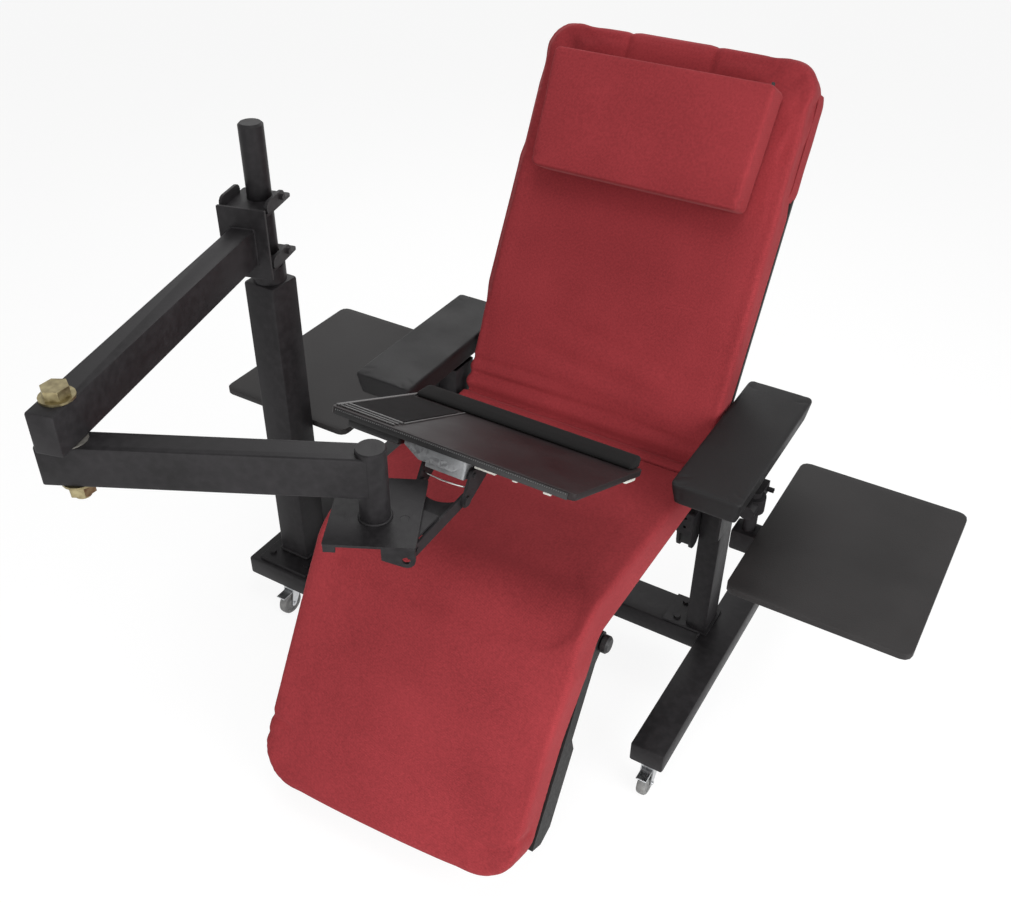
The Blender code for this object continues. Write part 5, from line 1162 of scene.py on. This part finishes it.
def on_back(p, foot=frame_front):
    """Where a point lies from the middle of the back's foot: across, up the back and behind it."""
    rel = p - foot
    return rel.x, rel.dot(BACK), -rel.dot(BACK_OUT)


work = bmesh.new()
work.from_mesh(frame["nodes"]["back_frame"].data)
bmesh.ops.remove_doubles(work, verts=work.verts, dist=1e-5)
bmesh.ops.dissolve_limit(work, angle_limit=0.001, verts=work.verts, edges=work.edges)
outer = []
for v in work.verts:
    u, _, behind = on_back(v.co)
    if abs(u) > RAIL_OUTER - RAIL_NEAR and behind > RAIL_REAR - RAIL_NEAR:
        outer.append(v)
rounded(work, [e for e in work.edges if all(v in outer for v in e.verts)], RAIL_ROUND, 6)
rounded(work, [e for e in work.edges if e.calc_face_angle(0.0) > SHARP], RAIL_EDGE, clamp=True)
back_rails = piece("rounded_back_frame", work, black_wood, "back")
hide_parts("back_frame")

HEM_FROM = 0.050
HEM_DEPTH = 0.0525
HEM_LOW = 0.57
HEM_HIGH = 0.79
HEM_STEPS = (36, 16)
HEM_BEND = RAIL_ROUND + 0.001
HEM_STRAIGHT = RAIL_REAR - RAIL_ROUND - HEM_FROM
HEM_WAVE = 61.0
SHEET = 0.0016


def as_sheet(name, form):
    """Give a bmesh the thickness of the cloth and make it a piece of the back."""
    bmesh.ops.recalc_face_normals(form, faces=form.faces)
    bmesh.ops.solidify(form, geom=form.faces[:], thickness=SHEET)
    return piece(name, form, red_fabric, "back", SOFT_ANGLE)


for side, name in ((-1, "right"), (1, "left")):
    work = bmesh.new()
    bmesh.ops.create_grid(work, x_segments=HEM_STEPS[0], y_segments=HEM_STEPS[1], size=0.5)
    for v in work.verts:
        along = HEM_LOW + (HEM_HIGH - HEM_LOW) * (v.co.x + 0.5)
        share = v.co.y + 0.5
        round_on = max(0.0, HEM_DEPTH * share - HEM_STRAIGHT) / HEM_BEND
        deep = HEM_FROM + min(HEM_DEPTH * share, HEM_STRAIGHT) + HEM_BEND * math.sin(round_on)
        out = RAIL_OUTER + 0.0012 - HEM_BEND * (1.0 - math.cos(round_on))
        tuck = 0.0035 * max(0.0, 1.0 - share / 0.45)
        tuck += 0.0007 * (1.0 + math.sin(along * HEM_WAVE)) * min(share, 0.4)
        tuck += 0.005 * max(0.0, 1.0 - min(HEM_HIGH - along, along - HEM_LOW) / 0.03) ** 2
        v.co = frame_front + BACK * along - BACK_OUT * deep + Vector((side * (out - tuck), 0, 0))
    hem = as_sheet(name + "_back_hem", work)
    woven(hem, lambda p: ((p - BACK_FOOT).dot(BACK_OUT), (p - BACK_FOOT).dot(BACK), 0.0))

# Head pillow: a boxed pillow in the same cloth with sewn edges that stay crisp, hung on a wide strap of the
# cloth that lies over the top of the back.
PILLOW_WIDTH, PILLOW_HEIGHT, PILLOW_DEPTH = 0.49, 0.25, 0.085
PILLOW_AT = 0.645
PILLOW_OFF = 0.0083
PILLOW_VOXEL = 0.005
pillow_foot = frame_front + BACK * (PILLOW_AT - PILLOW_HEIGHT / 2) + BACK_OUT * PILLOW_OFF
pillow_top = pillow_foot + BACK_OUT * PILLOW_DEPTH


def pillow_waist(share):
    """How far the pillow is drawn in at a share of its height: most at its foot."""
    return 1.0 - 0.014 * math.sin(math.pi * share) - 0.035 * (1.0 - share)


def pillow_lay(p):
    return on_back(p, pillow_top)


def pillow_held(p):
    u, l, deep = pillow_lay(p)
    inset = PILLOW_WIDTH / 2 * pillow_waist(within(l / PILLOW_HEIGHT))
    rim = min(inset - abs(u), l, PILLOW_HEIGHT - l)
    return deep > PILLOW_DEPTH - 0.012 or (rim < 0.010 and deep < 0.016)


blank = slab(PILLOW_WIDTH, PILLOW_HEIGHT, PILLOW_DEPTH - 0.008, 0.012, 0.005, 0.004)
for v in blank.verts:
    x, l, z = v.co
    drawn_in = pillow_waist(l / PILLOW_HEIGHT)
    half = PILLOW_HEIGHT / 2
    l = half + (l - half) * (1.0 - 0.02 * math.cos(math.pi * x / PILLOW_WIDTH))
    v.co = pillow_top + Vector((x * drawn_in, 0, 0)) + BACK * l + BACK_OUT * (z - 0.006)
pillow = stuffed(
    "boxed_head_pillow", blank, PILLOW_VOXEL, 0.009, pillow_held, stiff=10.0, evened=2, fill=6.0,
)
folded(pillow, pillow_lay, [
    ((0.245, 0.012), (0.228, 0.026), 0.005, -0.004),
    ((-0.245, 0.014), (-0.222, 0.030), 0.005, -0.003),
])
woven(pillow, pillow_lay)
upholstered(pillow, red_fabric, ["head_pillow"], "pillow")

zip_end = Vector((PILLOW_WIDTH / 2 - 0.012, 0, 0))
zip_place = pillow_top + zip_end + BACK * (PILLOW_HEIGHT - 0.001) - BACK_OUT * 0.022
zip_turn = Matrix((Vector((1, 0, 0)), BACK_OUT, BACK)).transposed().to_4x4()
work = bmesh.new()
bmesh.ops.create_cone(
    work, cap_ends=True, segments=16, radius1=0.0045, radius2=0.0035, depth=0.012,
    matrix=Matrix.Translation(zip_place) @ zip_turn,
)
rounded(work, work.edges[:], 0.0007)
piece("zip_pull", work, black_plastic, "pillow")

STRAP_RISE = 0.0012
STRAP_COLUMNS = 14
cover_mesh = bmesh.new()
cover_mesh.from_mesh(back_cover.data)
touch = BVHTree.FromBMesh(cover_mesh)
cover_mesh.free()
front_stops = (0.66, 0.69, 0.72, 0.75, 0.78, 0.80)
rear_stops = (0.80, 0.775, 0.75)
top_middle = BACK_FOOT + BACK * (BACK_LENGTH - 0.038) - BACK_OUT * 0.037
route = [(BACK_FOOT + BACK * stop + BACK_OUT * 0.2, -BACK_OUT) for stop in front_stops]
for k in range(9):
    tip = math.radians(15 + 150 * k / 8)
    spoke = BACK_OUT * math.cos(tip) + BACK * math.sin(tip)
    route.append((top_middle + spoke * 0.25, -spoke))
route += [(BACK_FOOT + BACK * stop - BACK_OUT * 0.3, BACK_OUT) for stop in rear_stops]
work = bmesh.new()
bmesh.ops.create_grid(work, x_segments=STRAP_COLUMNS, y_segments=len(route) - 1, size=0.5)
for v in work.verts:
    origin, heading = route[round((v.co.y + 0.5) * (len(route) - 1))]
    start = origin + Vector((STRAP_FROM + (STRAP_TO - STRAP_FROM) * (v.co.x + 0.5), 0, 0))
    hit = touch.ray_cast(start, heading)[0]
    v.co = hit - heading * STRAP_RISE if hit else start + heading * 0.2
strap_middle = MIDDLE + (STRAP_FROM + STRAP_TO) / 2
spine = [v for v in work.verts if abs(v.co.x - strap_middle) < 1e-4]
spine = [v.co for v in sorted(spine, key=lambda v: v.index)]
strap = as_sheet("pillow_strap", work)
woven(strap, lambda p: (p.x - MIDDLE, (p - BACK_FOOT).dot(BACK) - (p - BACK_FOOT).dot(BACK_OUT), 0.0))
